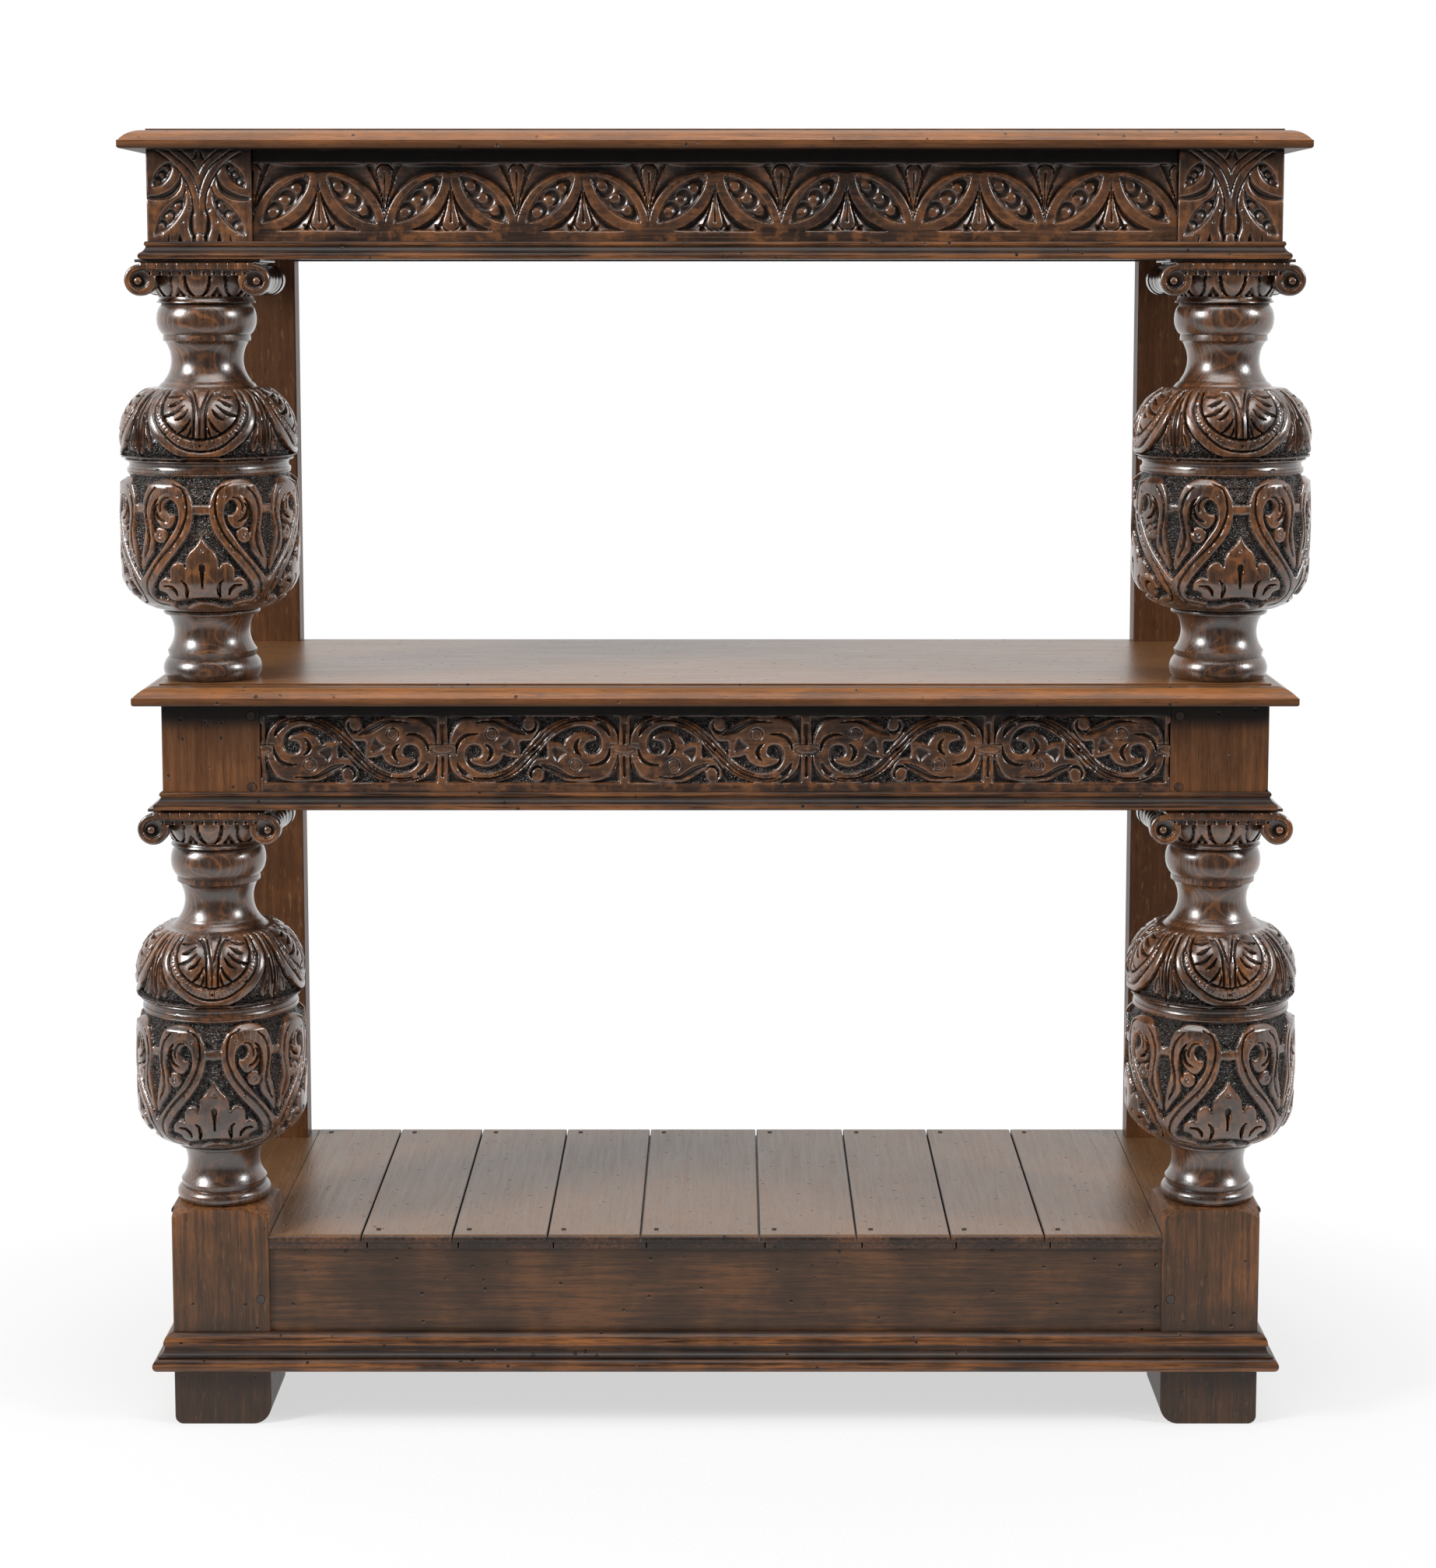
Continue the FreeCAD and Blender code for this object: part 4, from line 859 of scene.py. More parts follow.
def cover_height(u, w, depth):
    """The cover: strapped lobes with acanthus halves inside, and petals hung between them."""
    inner_gap = enclosed(u, w, COVER_INNER, margin=FAR)
    outer_gap = enclosed(u, w, COVER_OUTER, margin=FAR)
    within = inside(inner_gap, 0.3)
    beyond = 1 - inside(outer_gap, 0.5)
    petals = closest(u, w, COVER_DROPS)
    ground = beyond * (1 - inside(petals, 1.0))
    height = -ground * depth * 1.1
    height -= beyond * (1 - ground) * (0.7 + 0.8 * np.clip(1 + petals / 2, 0, 1))
    leaf_gap = outside(u, w, COVER_LEAF, margin=FAR)
    pillow = np.clip(np.minimum(-inner_gap, leaf_gap) / 11, 0, 1)
    height += within * (-depth * 0.5 + np.sin(pillow * np.pi / 2) * depth * 0.5)
    for line in (COVER_LEAF, COVER_WEDGE):
        height -= groove(outside(u, w, line) + 0.8, 1.3, depth * 0.7) * within
    for gap, width, share in ((inner_gap, 1.7, 0.85), (outer_gap, 1.3, 0.7)):
        height -= groove(gap, width, depth * share)
    strap = (1 - within) * (1 - beyond)
    middle, runs = outside(u, w, COVER_MIDDLE, along=True, margin=FAR)
    height -= groove(middle + 0.8, 1.3, depth * 0.6) * strap
    nicked = strap * (inner_gap < 0.4 - outer_gap)
    nicked = nicked * ease((middle - 0.6) / 0.8) * ease((inner_gap - 1.8) / 0.6)
    nicks = np.clip(np.cos(runs * 2 * np.pi / NICK_PITCH), 0, 1) ** 12
    height -= nicked * nicks * depth * 0.3
    bulge = np.clip(np.minimum(middle, -outer_gap) / 3.5, 0, 1)
    height += strap * (np.sin(bulge * np.pi / 2) - 1) * 0.9
    height = cut_all(height, u, w, COVER_CUTS, depth * 1.1)
    height = cut_all(height, u, w, COVER_DROP_CUTS, depth)
    height = pit_all(height, u, w, COVER_DOTS, depth * 0.7)
    return height, ground * ease((w - COVER_PUNCHED) / 6)


def cup_height(u, w, depth):
    """The cup: paired strap scrolls tied to each other, with a flower between their feet."""
    strap = enclosed(u, w, CUP_STRAP)
    ball = np.hypot(u - CUP_BALL[0], w - CUP_BALL[1]) - CUP_BALL[2]
    gap = np.minimum(np.minimum(strap, ball), closest(u, w, (CUP_HOOK, CUP_FLOWER, CUP_PETAL)))
    ties = union(u, w, CUP_TIES)
    ground = 1 - inside(np.minimum(gap, ties) - 0.3, 1.1)
    height = -depth * ground
    height -= (1 - ground) * 0.9 * np.clip(1 + np.minimum(gap, ties) / 2.4, 0, 1) ** 2
    height -= inside(ties, 0.6) * (gap > 0) * 1.1
    for line in CUP_SLITS:
        sunk = inside(outside(u, w, line), 0.5)
        height = height * (1 - sunk) - (depth + 0.3) * sunk
    height = cut_all(height, u, w, CUP_GOUGES, depth * 0.75)
    rim = inside(np.abs(ball) - 0.4, 0.5) * (strap < 1)
    height -= rim * 1.6
    for x, y, radius in CUP_EYES:
        height -= np.exp(-((np.hypot(u - x, w - y) - radius) / 0.55) ** 2) * 0.9
    return pit_all(height, u, w, CUP_PINS, PIN_DEPTH), ground


def baluster_relief(turn, drop, sizes, seed):
    """Height field of a support, from turn in radians and drop below its top in millimetres."""
    quarter = np.pi / 2
    wobble = hand_noise(turn.shape, 14, seed, closed=True) * 0.3
    folded = np.abs((turn + quarter / 2) % quarter - quarter / 2)
    u = folded * BULB_REACH + wobble
    lift = hand_noise(turn.shape, 14, seed + 1, closed=True) * 0.25
    cover_depth = sizes.cover_depth / MM
    cup_depth = sizes.cup_depth / MM
    cover, cover_ground = cover_height(u, drop - COVER_TOP + lift, cover_depth)
    cup, cup_ground = cup_height(u, drop - CUP_TOP + lift, cup_depth)
    on_cover = ease((drop - COVER_TOP - 1.5) / 2) * ease((COVER_BOTTOM - drop) / 1.2)
    on_cup = ease((drop - CUP_EDGE) / 2.5) * ease((CUP_BOTTOM - drop) / 3)
    height = cover * on_cover + cup * on_cup
    ground = cover_ground * on_cover + cup_ground * on_cup
    punched = hand_noise(turn.shape, 1, seed + 2, closed=True)
    height += ground * punched * 0.34
    height += hand_noise(turn.shape, 5, seed + 3, closed=True) * 0.1 * np.maximum(on_cover, on_cup)
    for place, width, cut in TURNED_LINES:
        height -= np.exp(-((drop - place) / width) ** 2) * cut
    return height, ground


def carve_baluster(node, sizes, seed):
    """A support turned from its node's outline, and carved on its cover and cup."""
    low, high = box_mm(node)
    axis_x, axis_y = (low[:2] + high[:2]) / 2
    outline = lathed(turned_outline(node, axis_x, axis_y))
    outline = spaced(outline, 2 * math.pi * BULB_REACH / sizes.bulb_columns)
    turn = np.linspace(0, 2 * math.pi, sizes.bulb_columns + 1)
    drop = outline[0][1] - outline[:, 1]
    turns, drops = np.meshgrid(turn[:-1] + SUPPORT_TURN, drop)
    height, ground = baluster_relief(turns, drops, sizes, seed)
    colours = carving_colours(height, ground, closed=True)
    # quirks and coves of the turned outline darkened: old wax in part, painted shade in part
    colours[..., 1] = np.maximum(colours[..., 1], turned_dirt_and_shade(outline)[:, None])
    height = np.hstack((height, height[:, :1]))
    colours = np.hstack((colours, colours[:, :1]))
    normals = outline_normals(outline)
    radius = outline[:, :1] + normals[:, :1] * height
    up = outline[:, 1:] + normals[:, 1:] * height
    places = np.stack((axis_x + radius * np.sin(turn), axis_y - radius * np.cos(turn), up), axis=-1)
    piece = grid_piece(node + "_carved", places[::-1], colours[::-1])
    close_round(piece)
    thin(piece, min(1.0, sizes.bulb_faces / (2 * len(piece.data.polygons))))
    shade(piece, TURNED_CREASE)
    return piece


# Capitals


def turned_piece(name, centre, outline, columns, relief=None, lying=False):
    """A closed turning about an upright axis, or about a level one that runs in depth."""
    outline = np.array(outline, float)
    turn = np.linspace(0, 2 * math.pi, columns + 1)
    turns, ups = np.meshgrid(turn[:-1], outline[:, 1])
    height = relief(turns, ups) if relief else np.zeros(turns.shape)
    colours = carving_colours(height, np.zeros(height.shape), closed=True)
    height = np.hstack((height, height[:, :1]))
    colours = np.hstack((colours, colours[:, :1]))
    radius = outline[:, :1] + height
    up = np.repeat(outline[:, 1:], columns + 1, axis=1)
    side, front = centre[0] + radius * np.sin(turn), radius * np.cos(turn)
    places = (side, up, centre[1] + front) if lying else (side, centre[1] - front, up)
    piece = grid_piece(name, np.stack(places, axis=-1), colours)
    close_round(piece)
    return piece


def echinus_relief(turns, ups):
    """Eggs hung from the channel, with split tongues between them; ups count from the bottom."""
    eighth = np.pi / 4
    folded = (turns + eighth / 2) % eighth - eighth / 2
    u = np.abs(folded) * EGG_REACH
    egg = (np.hypot(u / EGG_HALF_WIDTH, (CUSHION_HEIGHT - ups) / EGG_HEIGHT) - 1) * 10
    height = -1.3 * np.clip(1 + egg / 9, 0, 1) ** 2 * (egg < 0)
    height = np.where(egg >= 0, -0.5, height)
    crescent = 1.35 * ease((ups + 2) / 8) + 0.25
    height -= groove(egg - crescent, crescent, 3.6)
    dart = DART_PLACE - u
    notch = dart - 5.9 * (9.6 - ups) / 8.6
    height -= inside(notch, 0.5) * (ups < 9.8) * 3.0
    height += inside(dart - 2.4 * (5.6 - ups) / 5.6, 0.5) * (ups < 5.6) * 2.4
    return height


def scroll_outline(x, z):
    """Outside distance of the front of a capital: a channel between two scrolls."""
    discs = np.hypot(np.abs(x) - SCROLL_REACH, z - SCROLL_RISE) - SCROLL_RADIUS
    band_low = CAPITAL_HEIGHT - CHANNEL_HEIGHT
    band = np.maximum(np.abs(x) - SCROLL_REACH, np.maximum(band_low - z, z - CAPITAL_HEIGHT))
    return np.minimum(discs, band)


def scroll_relief(x, z):
    """Channel, scroll bowl with its ball, and ticked fillet on the front of a capital."""
    across = np.abs(x)
    centre = np.hypot(across - SCROLL_REACH, z - SCROLL_RISE)
    tongue = (across < SCROLL_REACH) * ease((21.5 - z) / 1.0) * 1.0
    bowl = centre - BOWL_RADIUS + tongue
    band_low = CAPITAL_HEIGHT - CHANNEL_HEIGHT
    channel = np.maximum(np.maximum(band_low - z, z - CHANNEL_RISE), across - SCROLL_REACH)
    channel = np.where((across > SCROLL_REACH - 1) & (centre > BOWL_RADIUS), FAR, channel)
    sunk = inside(np.minimum(bowl, channel), 0.45)
    deep = 3.0 + 3.2 * np.clip(1 - centre / BOWL_RADIUS, 0, 1) ** 0.7
    height = -sunk * np.where(centre < BOWL_RADIUS, deep, 3.0)
    ball = np.hypot(across - SCROLL_REACH - BALL_OFFSET, z - SCROLL_RISE + 1) / BALL_RADIUS
    height = np.where(ball < 1, -3.2 + 2.6 * np.sqrt(np.clip(1 - ball ** 2, 0, 1)), height)
    edge = scroll_outline(x, z)
    height -= (1 - sunk) * np.clip(1 + edge / 2.2, 0, 1) ** 2 * 1.3
    tick = (across + 5 * (z > CHANNEL_RISE)) % TICK_PITCH
    line = np.exp(-((tick - TICK_PITCH / 2) / 0.45) ** 2) * (across < SCROLL_REACH - 6)
    height += line * 0.9 * inside(channel, 0.4)
    height -= line * 0.7 * (z > CHANNEL_RISE + 0.4)
    pin = np.hypot(tick - TICK_PITCH / 2 - 1.9, z - band_low - 2.2)
    height -= inside(pin - 0.9, 0.45) * 2.0 * (across < SCROLL_REACH - 6) * (z < CHANNEL_RISE)
    return height


def scroll_plate(name, axis_x, bottom, face_y, thickness):
    """One carved face of a capital, cut out along its scrolls."""
    step = PLATE_STEP
    across = np.arange(-CAPITAL_WIDTH / 2 - step, CAPITAL_WIDTH / 2 + 1.5 * step, step)
    up = np.arange(-step, CAPITAL_HEIGHT + 1.5 * step, step)
    x, z = np.meshgrid(across, up)
    for _ in range(3):
        gap = scroll_outline(x, z)
        near = (gap > 0) & (gap < 1.5 * step)
        small = 0.01
        slope_x = (scroll_outline(x + small, z) - gap) / small
        slope_z = (scroll_outline(x, z + small) - gap) / small
        x = np.where(near, x - gap * slope_x, x)
        z = np.where(near, z - gap * slope_z, z)
    height = scroll_relief(x, z)
    colours = carving_colours(height, np.zeros(height.shape), closed=False)
    outwards = -1 if thickness > 0 else 1
    places = np.stack((axis_x - outwards * x, face_y + outwards * height, bottom + z), axis=-1)
    piece = grid_piece(name, places, colours)
    beyond = (scroll_outline(x, z) > 0.05).ravel()
    mesh = piece.data
    corners = np.empty(len(mesh.loops), np.int32)
    mesh.loops.foreach_get("vertex_index", corners)
    dropped = beyond[corners].reshape(-1, 4).any(axis=1)
    select_only(piece)
    bpy.ops.object.mode_set(mode="EDIT")
    bpy.ops.mesh.select_mode(type="FACE")
    bpy.ops.mesh.select_all(action="DESELECT")
    bpy.ops.object.mode_set(mode="OBJECT")
    mesh.polygons.foreach_set("select", dropped)
    bpy.ops.object.mode_set(mode="EDIT")
    bpy.ops.mesh.delete(type="FACE")
    bpy.ops.mesh.select_mode(type="VERT")
    bpy.ops.object.mode_set(mode="OBJECT")
    give_thickness(piece, thickness)
    return piece


def squared(name, low, high, bevel=0.6):
    """A squared block between two corners, its edges eased."""
    bpy.ops.object.select_all(action="DESELECT")
    middle = (np.array(low) + np.array(high)) / 2 * MM
    bpy.ops.mesh.primitive_cube_add(size=1, location=tuple(middle))
    piece = bpy.context.object
    piece.name = name
    piece.data.name = name
    piece.scale = tuple((np.array(high) - np.array(low)) * MM)
    bpy.ops.object.transform_apply(location=True, rotation=True, scale=True)
    bpy.ops.object.modifier_add(type="BEVEL")
    modifier = piece.modifiers[-1]
    modifier.width = bevel * MM
    modifier.segments = 2
    bpy.ops.object.modifier_apply(modifier=modifier.name)
    carving = piece.data.attributes.new("carving", "FLOAT_COLOR", "POINT")
    plain = np.tile((0.0, 0.0, 0.0, 1.0), len(piece.data.vertices)).astype(np.float32)
    carving.data.foreach_set("color", plain)
    return piece


def joined(pieces, name):
    """Several meshes as one piece."""
    bpy.ops.object.select_all(action="DESELECT")
    for piece in pieces:
        piece.select_set(True)
    bpy.context.view_layer.objects.active = pieces[0]
    bpy.ops.object.join()
    pieces[0].name = name
    pieces[0].data.name = name
    return pieces[0]


def carve_capital(node):
    """A capital: two scroll faces, ridged bolsters, channel block, cushion and thin abacus."""
    low, high = box_mm(node)
    axis_x = (low[0] + high[0]) / 2
    axis_y = (low[1] + high[1]) / 2
    bottom = low[2]
    top = bottom + CAPITAL_HEIGHT
    band_low = top - CHANNEL_HEIGHT
    front_y, back_y = low[1], high[1]
    parts = [
        scroll_plate(node + "_front_face", axis_x, bottom, front_y, PLATE_THICKNESS),
        scroll_plate(node + "_back_face", axis_x, bottom, back_y, -PLATE_THICKNESS),
        squared(node + "_channel", (axis_x - SCROLL_REACH, front_y + CHANNEL_INSET, band_low),
                (axis_x + SCROLL_REACH, back_y - CHANNEL_INSET, top)),
        squared(node + "_abacus", (axis_x - ABACUS_WIDTH / 2, front_y + ABACUS_INSET, top),
                (axis_x + ABACUS_WIDTH / 2, back_y - ABACUS_INSET, high[2]), 0.4),
    ]
    cushion = [(CUSHION_RADIUS / 2, bottom)]
    for share in np.linspace(0, 1, CUSHION_ROWS):
        cushion.append((CUSHION_RADIUS + CUSHION_SWELL * math.sin(share * math.pi / 2),
                        bottom + share * CUSHION_HEIGHT))
    cushion.append((CUSHION_RADIUS / 2, band_low))
    parts.append(turned_piece(node + "_cushion", (axis_x, axis_y), cushion, CUSHION_COLUMNS,
                              lambda turns, ups: echinus_relief(turns, ups - bottom)
                              * ease((ups - bottom) / 0.8) * ease((band_low + 0.4 - ups) / 0.8)))
    start_y = front_y + PLATE_THICKNESS - PLATE_OVERLAP
    end_y = back_y - PLATE_THICKNESS + PLATE_OVERLAP
    ridges = []
    for share in np.linspace(0, 1, BOLSTER_ROWS):
        dip = math.sin(share * math.pi)
        ridge = abs(math.sin(share * math.pi * BOLSTER_RIDGES)) ** 0.6
        ridges.append((SCROLL_RADIUS - 0.4 - 2.4 * dip - 1.6 * (1 - ridge),
                       start_y + share * (end_y - start_y)))
    ridges = [(BOLSTER_CORE, start_y)] + ridges + [(BOLSTER_CORE, end_y)]
    for side in (-1, 1):
        centre = (axis_x + side * SCROLL_REACH, bottom + SCROLL_RISE)
        parts.append(turned_piece(node + "_bolster", centre, ridges, BOLSTER_COLUMNS, lying=True))
    piece = joined(parts, node + "_carved")
    shade(piece, CARVED_CREASE)
    return piece


# Friezes


def lunette_height(x, z, depth):
    """Upper frieze: straps with beaded leaves, tongues below and drops above between them."""
    half = LUNETTE_PITCH / 2
    across = (x + half) % LUNETTE_PITCH - half
    folded = np.abs(across)
    other = half - folded
    height = np.zeros(x.shape)
    low_gap = np.hypot(folded - LUNETTE_RADIUS, z - LUNETTE_HIGH) - LUNETTE_RADIUS
    low_gap = np.where(z > LUNETTE_HIGH, np.minimum(low_gap, LUNETTE_HIGH - z), low_gap)
    high_gap = np.hypot(other - LUNETTE_RADIUS, z - LUNETTE_LOW) - LUNETTE_RADIUS
    high_gap = np.where(z < LUNETTE_LOW, np.minimum(high_gap, z - LUNETTE_LOW), high_gap)
    in_band = ease((z - PANEL_LOW) / 1.2) * ease((PANEL_HIGH - z) / 1.2)
    for gap, away, drop_line, reach_at, strands in (
        (low_gap, folded, TONGUE, (LUNETTE_HIGH - z) / (LUNETTE_HIGH - PANEL_LOW), 0.42),
        (high_gap, other, DROP, (z - LUNETTE_LOW) / (PANEL_HIGH - LUNETTE_LOW), 0.5),
    ):
        cut = inside(-gap, 0.6) * in_band
        width = np.maximum(away + gap, 0.5)
        share = np.clip(gap / np.maximum(width * strands, 0.8), 0, 1)
        scoop = -depth * (1 - share ** 1.6) - 0.7
        inner = ease((share - 0.97) / 0.03) * ease((away - 3) / 2)
        inner_share = np.clip((gap - width * strands) / np.maximum(width * (1 - strands) * 0.5, 1), 0, 1)
        scoop = scoop * (1 - inner) + inner * (-0.7 - depth * 0.75 * (1 - inner_share ** 2))
        small = np.clip(reach_at / 0.35, 0.25, 1)
        tongue_gap = outside(away, z, drop_line)
        tongue = inside(tongue_gap, 0.6)
        rim = np.exp(-((tongue_gap - 0.9) / 0.8) ** 2)
        scoop = np.minimum(scoop, -depth * 0.95 * rim)
        slit = outside(away, z, tuple((a, b, 0.2 + c * 0.12) for a, b, c in drop_line))
        top = -0.6 - 1.1 * np.clip(1 + tongue_gap / 4, 0, 1) - 2.4 * inside(slit, 0.6)
        scoop = scoop * (1 - tongue) + top * tongue
        height = height * (1 - cut) + scoop * small * cut
    for tip, end, chosen in ((LEAF_TIP, LEAF_END, across < 0), (LEAF_END, LEAF_TIP, across >= 0)):
        carved = leaf_floor(height, folded, z, tip, end, LEAF_HALF_WIDTH, depth * 0.95)
        height = np.where(chosen, carved, height)
    height -= inside(outside(folded, z, TONGUE_PIT), 0.6) * depth * 0.6
    for edge in (PANEL_LOW, PANEL_HIGH):
        height -= np.exp(-((z - edge) / 0.6) ** 2) * 0.6
    return height, np.zeros(x.shape)


def scroll_height(x, z, depth):
    """Middle frieze: S scrolls that end in beast heads, held by reeded clasps."""
    number = np.clip(np.floor((x + SCROLL_PITCH * 2.5) / SCROLL_PITCH), 0, 4)
    middle = (number - 2) * SCROLL_PITCH
    u = (x - middle) * np.where(number % 2 == 0, 1, -1)
    v = z - SCROLL_MIDDLE
    gap = np.full(x.shape, FAR)
    slits = np.full(x.shape, FAR)
    for sign in (1, -1):
        half = enclosed(sign * u, sign * v, SCROLL_SHAPE)
        for corners in SCROLL_HOLES:
            half = np.maximum(half, -enclosed(sign * u, sign * v, corners, margin=FAR))
        gap = np.minimum(gap, half)
        slits = np.minimum(slits, union(sign * u, sign * v, SCROLL_SLITS))
    clasp_x = SCROLL_PITCH / 2 - np.abs(x - middle)
    clasp = union(clasp_x, v, CLASP_RAISED)
    rims = union(-clasp_x, v, CLASP_RIMS)
    buckle = np.maximum(np.abs(clasp_x) - CLASP_REACH, np.abs(v) - CLASP_RISE)
    gap = np.minimum(gap, np.minimum(clasp, buckle))
    ground = 1 - inside(np.maximum(gap, -slits) - 0.3, 1.05)
    height = -depth * ground
    height -= (1 - ground) * 0.9 * np.clip(1 + gap / 2.2, 0, 1) ** 2
    rim = inside(rims, 0.6) * ground
    height = height * (1 - rim) - 1.2 * rim
    flute = ease(clasp_x / 2) * ease((30 - clasp_x) / 4)
    punched = ground * (1 - flute * 0.8)
    for sign in (1, -1):
        height = cut_all(height, sign * u, sign * v, SCROLL_GOUGES, depth * 0.9)
        ear = inside(enclosed(sign * u, sign * v, SCROLL_EAR), 0.6)
        height = height * (1 - ear) + np.minimum(height, -depth * 0.62) * ear
        eye = np.hypot(sign * u - EYE[0], sign * v - EYE[1])
        for radius, width, share in ((6.1, 0.6, 0.4), (3.0, 0.5, 0.25), (0, 0.8, 0.25)):
            height -= np.exp(-((eye - radius) / width) ** 2) * depth * share
    height = cut_all(height, clasp_x, v, CLASP_GOUGES, depth * 0.75)
    held = inside(buckle, 0.6)
    oval = np.hypot(clasp_x / (CLASP_REACH - 2.6), v / (CLASP_RISE - 1.6)) - 1
    face = -0.5 * np.clip(1 + buckle / 1.5, 0, 1) - 1.1 * np.exp(-(oval / 0.14) ** 2)
    face -= 1.3 * inside(np.hypot(clasp_x, v) - 1.0, 0.5)
    height = height * (1 - held) + face * held
    height -= inside(np.abs(buckle) - 0.3, 0.5) * (gap < 0) * 1.4
    in_band = ease((SCROLL_HALF_HEIGHT - np.abs(v)) / 1.0)
    return height * in_band, punched * in_band * (1 - held)


def corner_height(x, z, depth):
    """Upper corner block: a strapped Y with four beaded leaves and gouged lobes."""
    u = np.abs(x)
    height = cut_all(np.zeros(x.shape), u, z, CORNER_GOUGES, depth)
    for tip, end, half_width in CORNER_LEAVES:
        height = leaf_floor(height, u, z, tip, end, half_width, depth)
    return pit_all(height, u, z, CORNER_DOTS, depth * 0.6), np.zeros(x.shape)


def carved_board(name, x_limits, z_limits, z_low, y_face, thickness, step, relief, seed, wear,
                 overhang=RAIL_SHADOW):
    """A squared timber whose front face is carved between two heights; wear rounds its shoulders.

    A painted shadow of the board above it reaches down as far as overhang.
    """
    columns = int(round((x_limits[1] - x_limits[0]) / step)) + 1
    rows = int(round((z_limits[1] - z_limits[0]) / step)) + 1
    across = np.linspace(*x_limits, columns)
    up = np.linspace(*z_limits, rows)
    x, z = np.meshgrid(across, up)
    wobble_x = hand_noise(x.shape, 12, seed) * 0.3
    wobble_z = hand_noise(x.shape, 12, seed + 1) * 0.25
    height, ground = relief(x + wobble_x, z + wobble_z)
    height = height * (1 - wear) + blurred(height, 2, False) * wear
    height += ground * hand_noise(x.shape, 1, seed + 2) * 0.3
    height += hand_noise(x.shape, 6, seed + 3) * 0.1
    edge = np.minimum(x - x_limits[0], x_limits[1] - x)
    height *= ease((z_limits[1] - z) / 1.5)
    height -= np.clip(1 - edge / 1.3, 0, 1) ** 2 * 0.8
    height = np.minimum(height, 0)
    colours = carving_colours(height, ground, closed=False)
    # painted shadow under the board above: the top of the face is darkened down as far as overhang
    painted_shadow = ease((z - z_limits[1] + overhang) / (0.4 * overhang)) * 0.97
    colours[..., 1] = np.maximum(colours[..., 1], painted_shadow)
    places = np.stack((x, y_face - height, z), axis=-1)
    if z_low < z_limits[0]:
        foot = places[:1].copy()
        foot[..., 1] = y_face
        foot[..., 2] = z_low
        places = np.concatenate((foot, places))
        colours = np.concatenate((colours[:1], colours))
    piece = grid_piece(name, places, colours)
    give_thickness(piece, thickness, y_face + thickness)
    shade(piece, CARVED_CREASE)
    return piece


# Finishes


def linear(hex_colour):
    """A six-figure sRGB hex colour as linear red, green, blue and opacity."""
    parts = []
    for start in (0, 2, 4):
        value = int(hex_colour[start:start + 2], 16) / 255
        parts.append(value / 12.92 if value <= 0.04045 else ((value + 0.055) / 1.055) ** 2.4)
    return (*parts, 1.0)


def add(tree, kind, inputs=None, **settings):
    """Add a node, set it, and join or set its inputs."""
    node = tree.nodes.new(kind)
    for name, value in settings.items():
        setattr(node, name, value)
    for key, value in (inputs or {}).items():
        if isinstance(value, bpy.types.NodeSocket):
            tree.links.new(value, node.inputs[key])
        else:
            node.inputs[key].default_value = value
    return node


def ramp(tree, factor, stops):
    """A colour ramp with the given stops."""
    node = add(tree, "ShaderNodeValToRGB", {0: factor})
    elements = node.color_ramp.elements
    while len(elements) < len(stops):
        elements.new(0.5)
    for element, (place, colour) in zip(elements, stops):
        element.position = place
        element.color = colour
    return node.outputs[0]


def blend(tree, factor, first, second):
    """Mix two colours."""
    return add(tree, "ShaderNodeMix", {0: factor, 6: first, 7: second}, data_type="RGBA").outputs[2]


def maths(tree, operation, *values):
    """A sum on values."""
    return add(tree, "ShaderNodeMath", dict(enumerate(values)), operation=operation).outputs[0]


def span(tree, value, low, high, start=0.0, end=1.0):
    """A value between low and high as one between start and end, and no further."""
    inputs = {"Value": value, "From Min": low, "From Max": high, "To Min": start, "To Max": end}
    return add(tree, "ShaderNodeMapRange", inputs).outputs[0]


def noise(tree, place, scale, detail=2.0, roughness=0.5, distortion=0.0):
    """Noise between 0 and 1."""
    inputs = {"Vector": place, "Scale": scale, "Detail": detail, "Roughness": roughness,
              "Distortion": distortion}
    return add(tree, "ShaderNodeTexNoise", inputs).outputs[0]


def bump(tree, height, strength, distance, normal=None, invert=False):
    """Small relief, on top of another where one is given."""
    inputs = {"Height": height, "Strength": strength, "Distance": distance}
    if normal is not None:
        inputs["Normal"] = normal
    return add(tree, "ShaderNodeBump", inputs, invert=invert).outputs[0]


def along_grain(tree, place, axis, across, along, shift=(0, 0, 0)):
    """Places scaled to cells of so many millimetres across and along the grain."""
    scale = tuple(1000 / (along if name == axis else across) for name in "xyz")
    return add(tree, "ShaderNodeMapping", {"Vector": place, "Scale": scale, "Location": shift}).outputs[0]


def new_finish(name):
    """An empty material, its tree and the place on the object."""
    material = bpy.data.materials.new(name)
    material.use_nodes = True
    tree = material.node_tree
    tree.nodes.clear()
    return material, tree, add(tree, "ShaderNodeTexCoord").outputs["Object"]


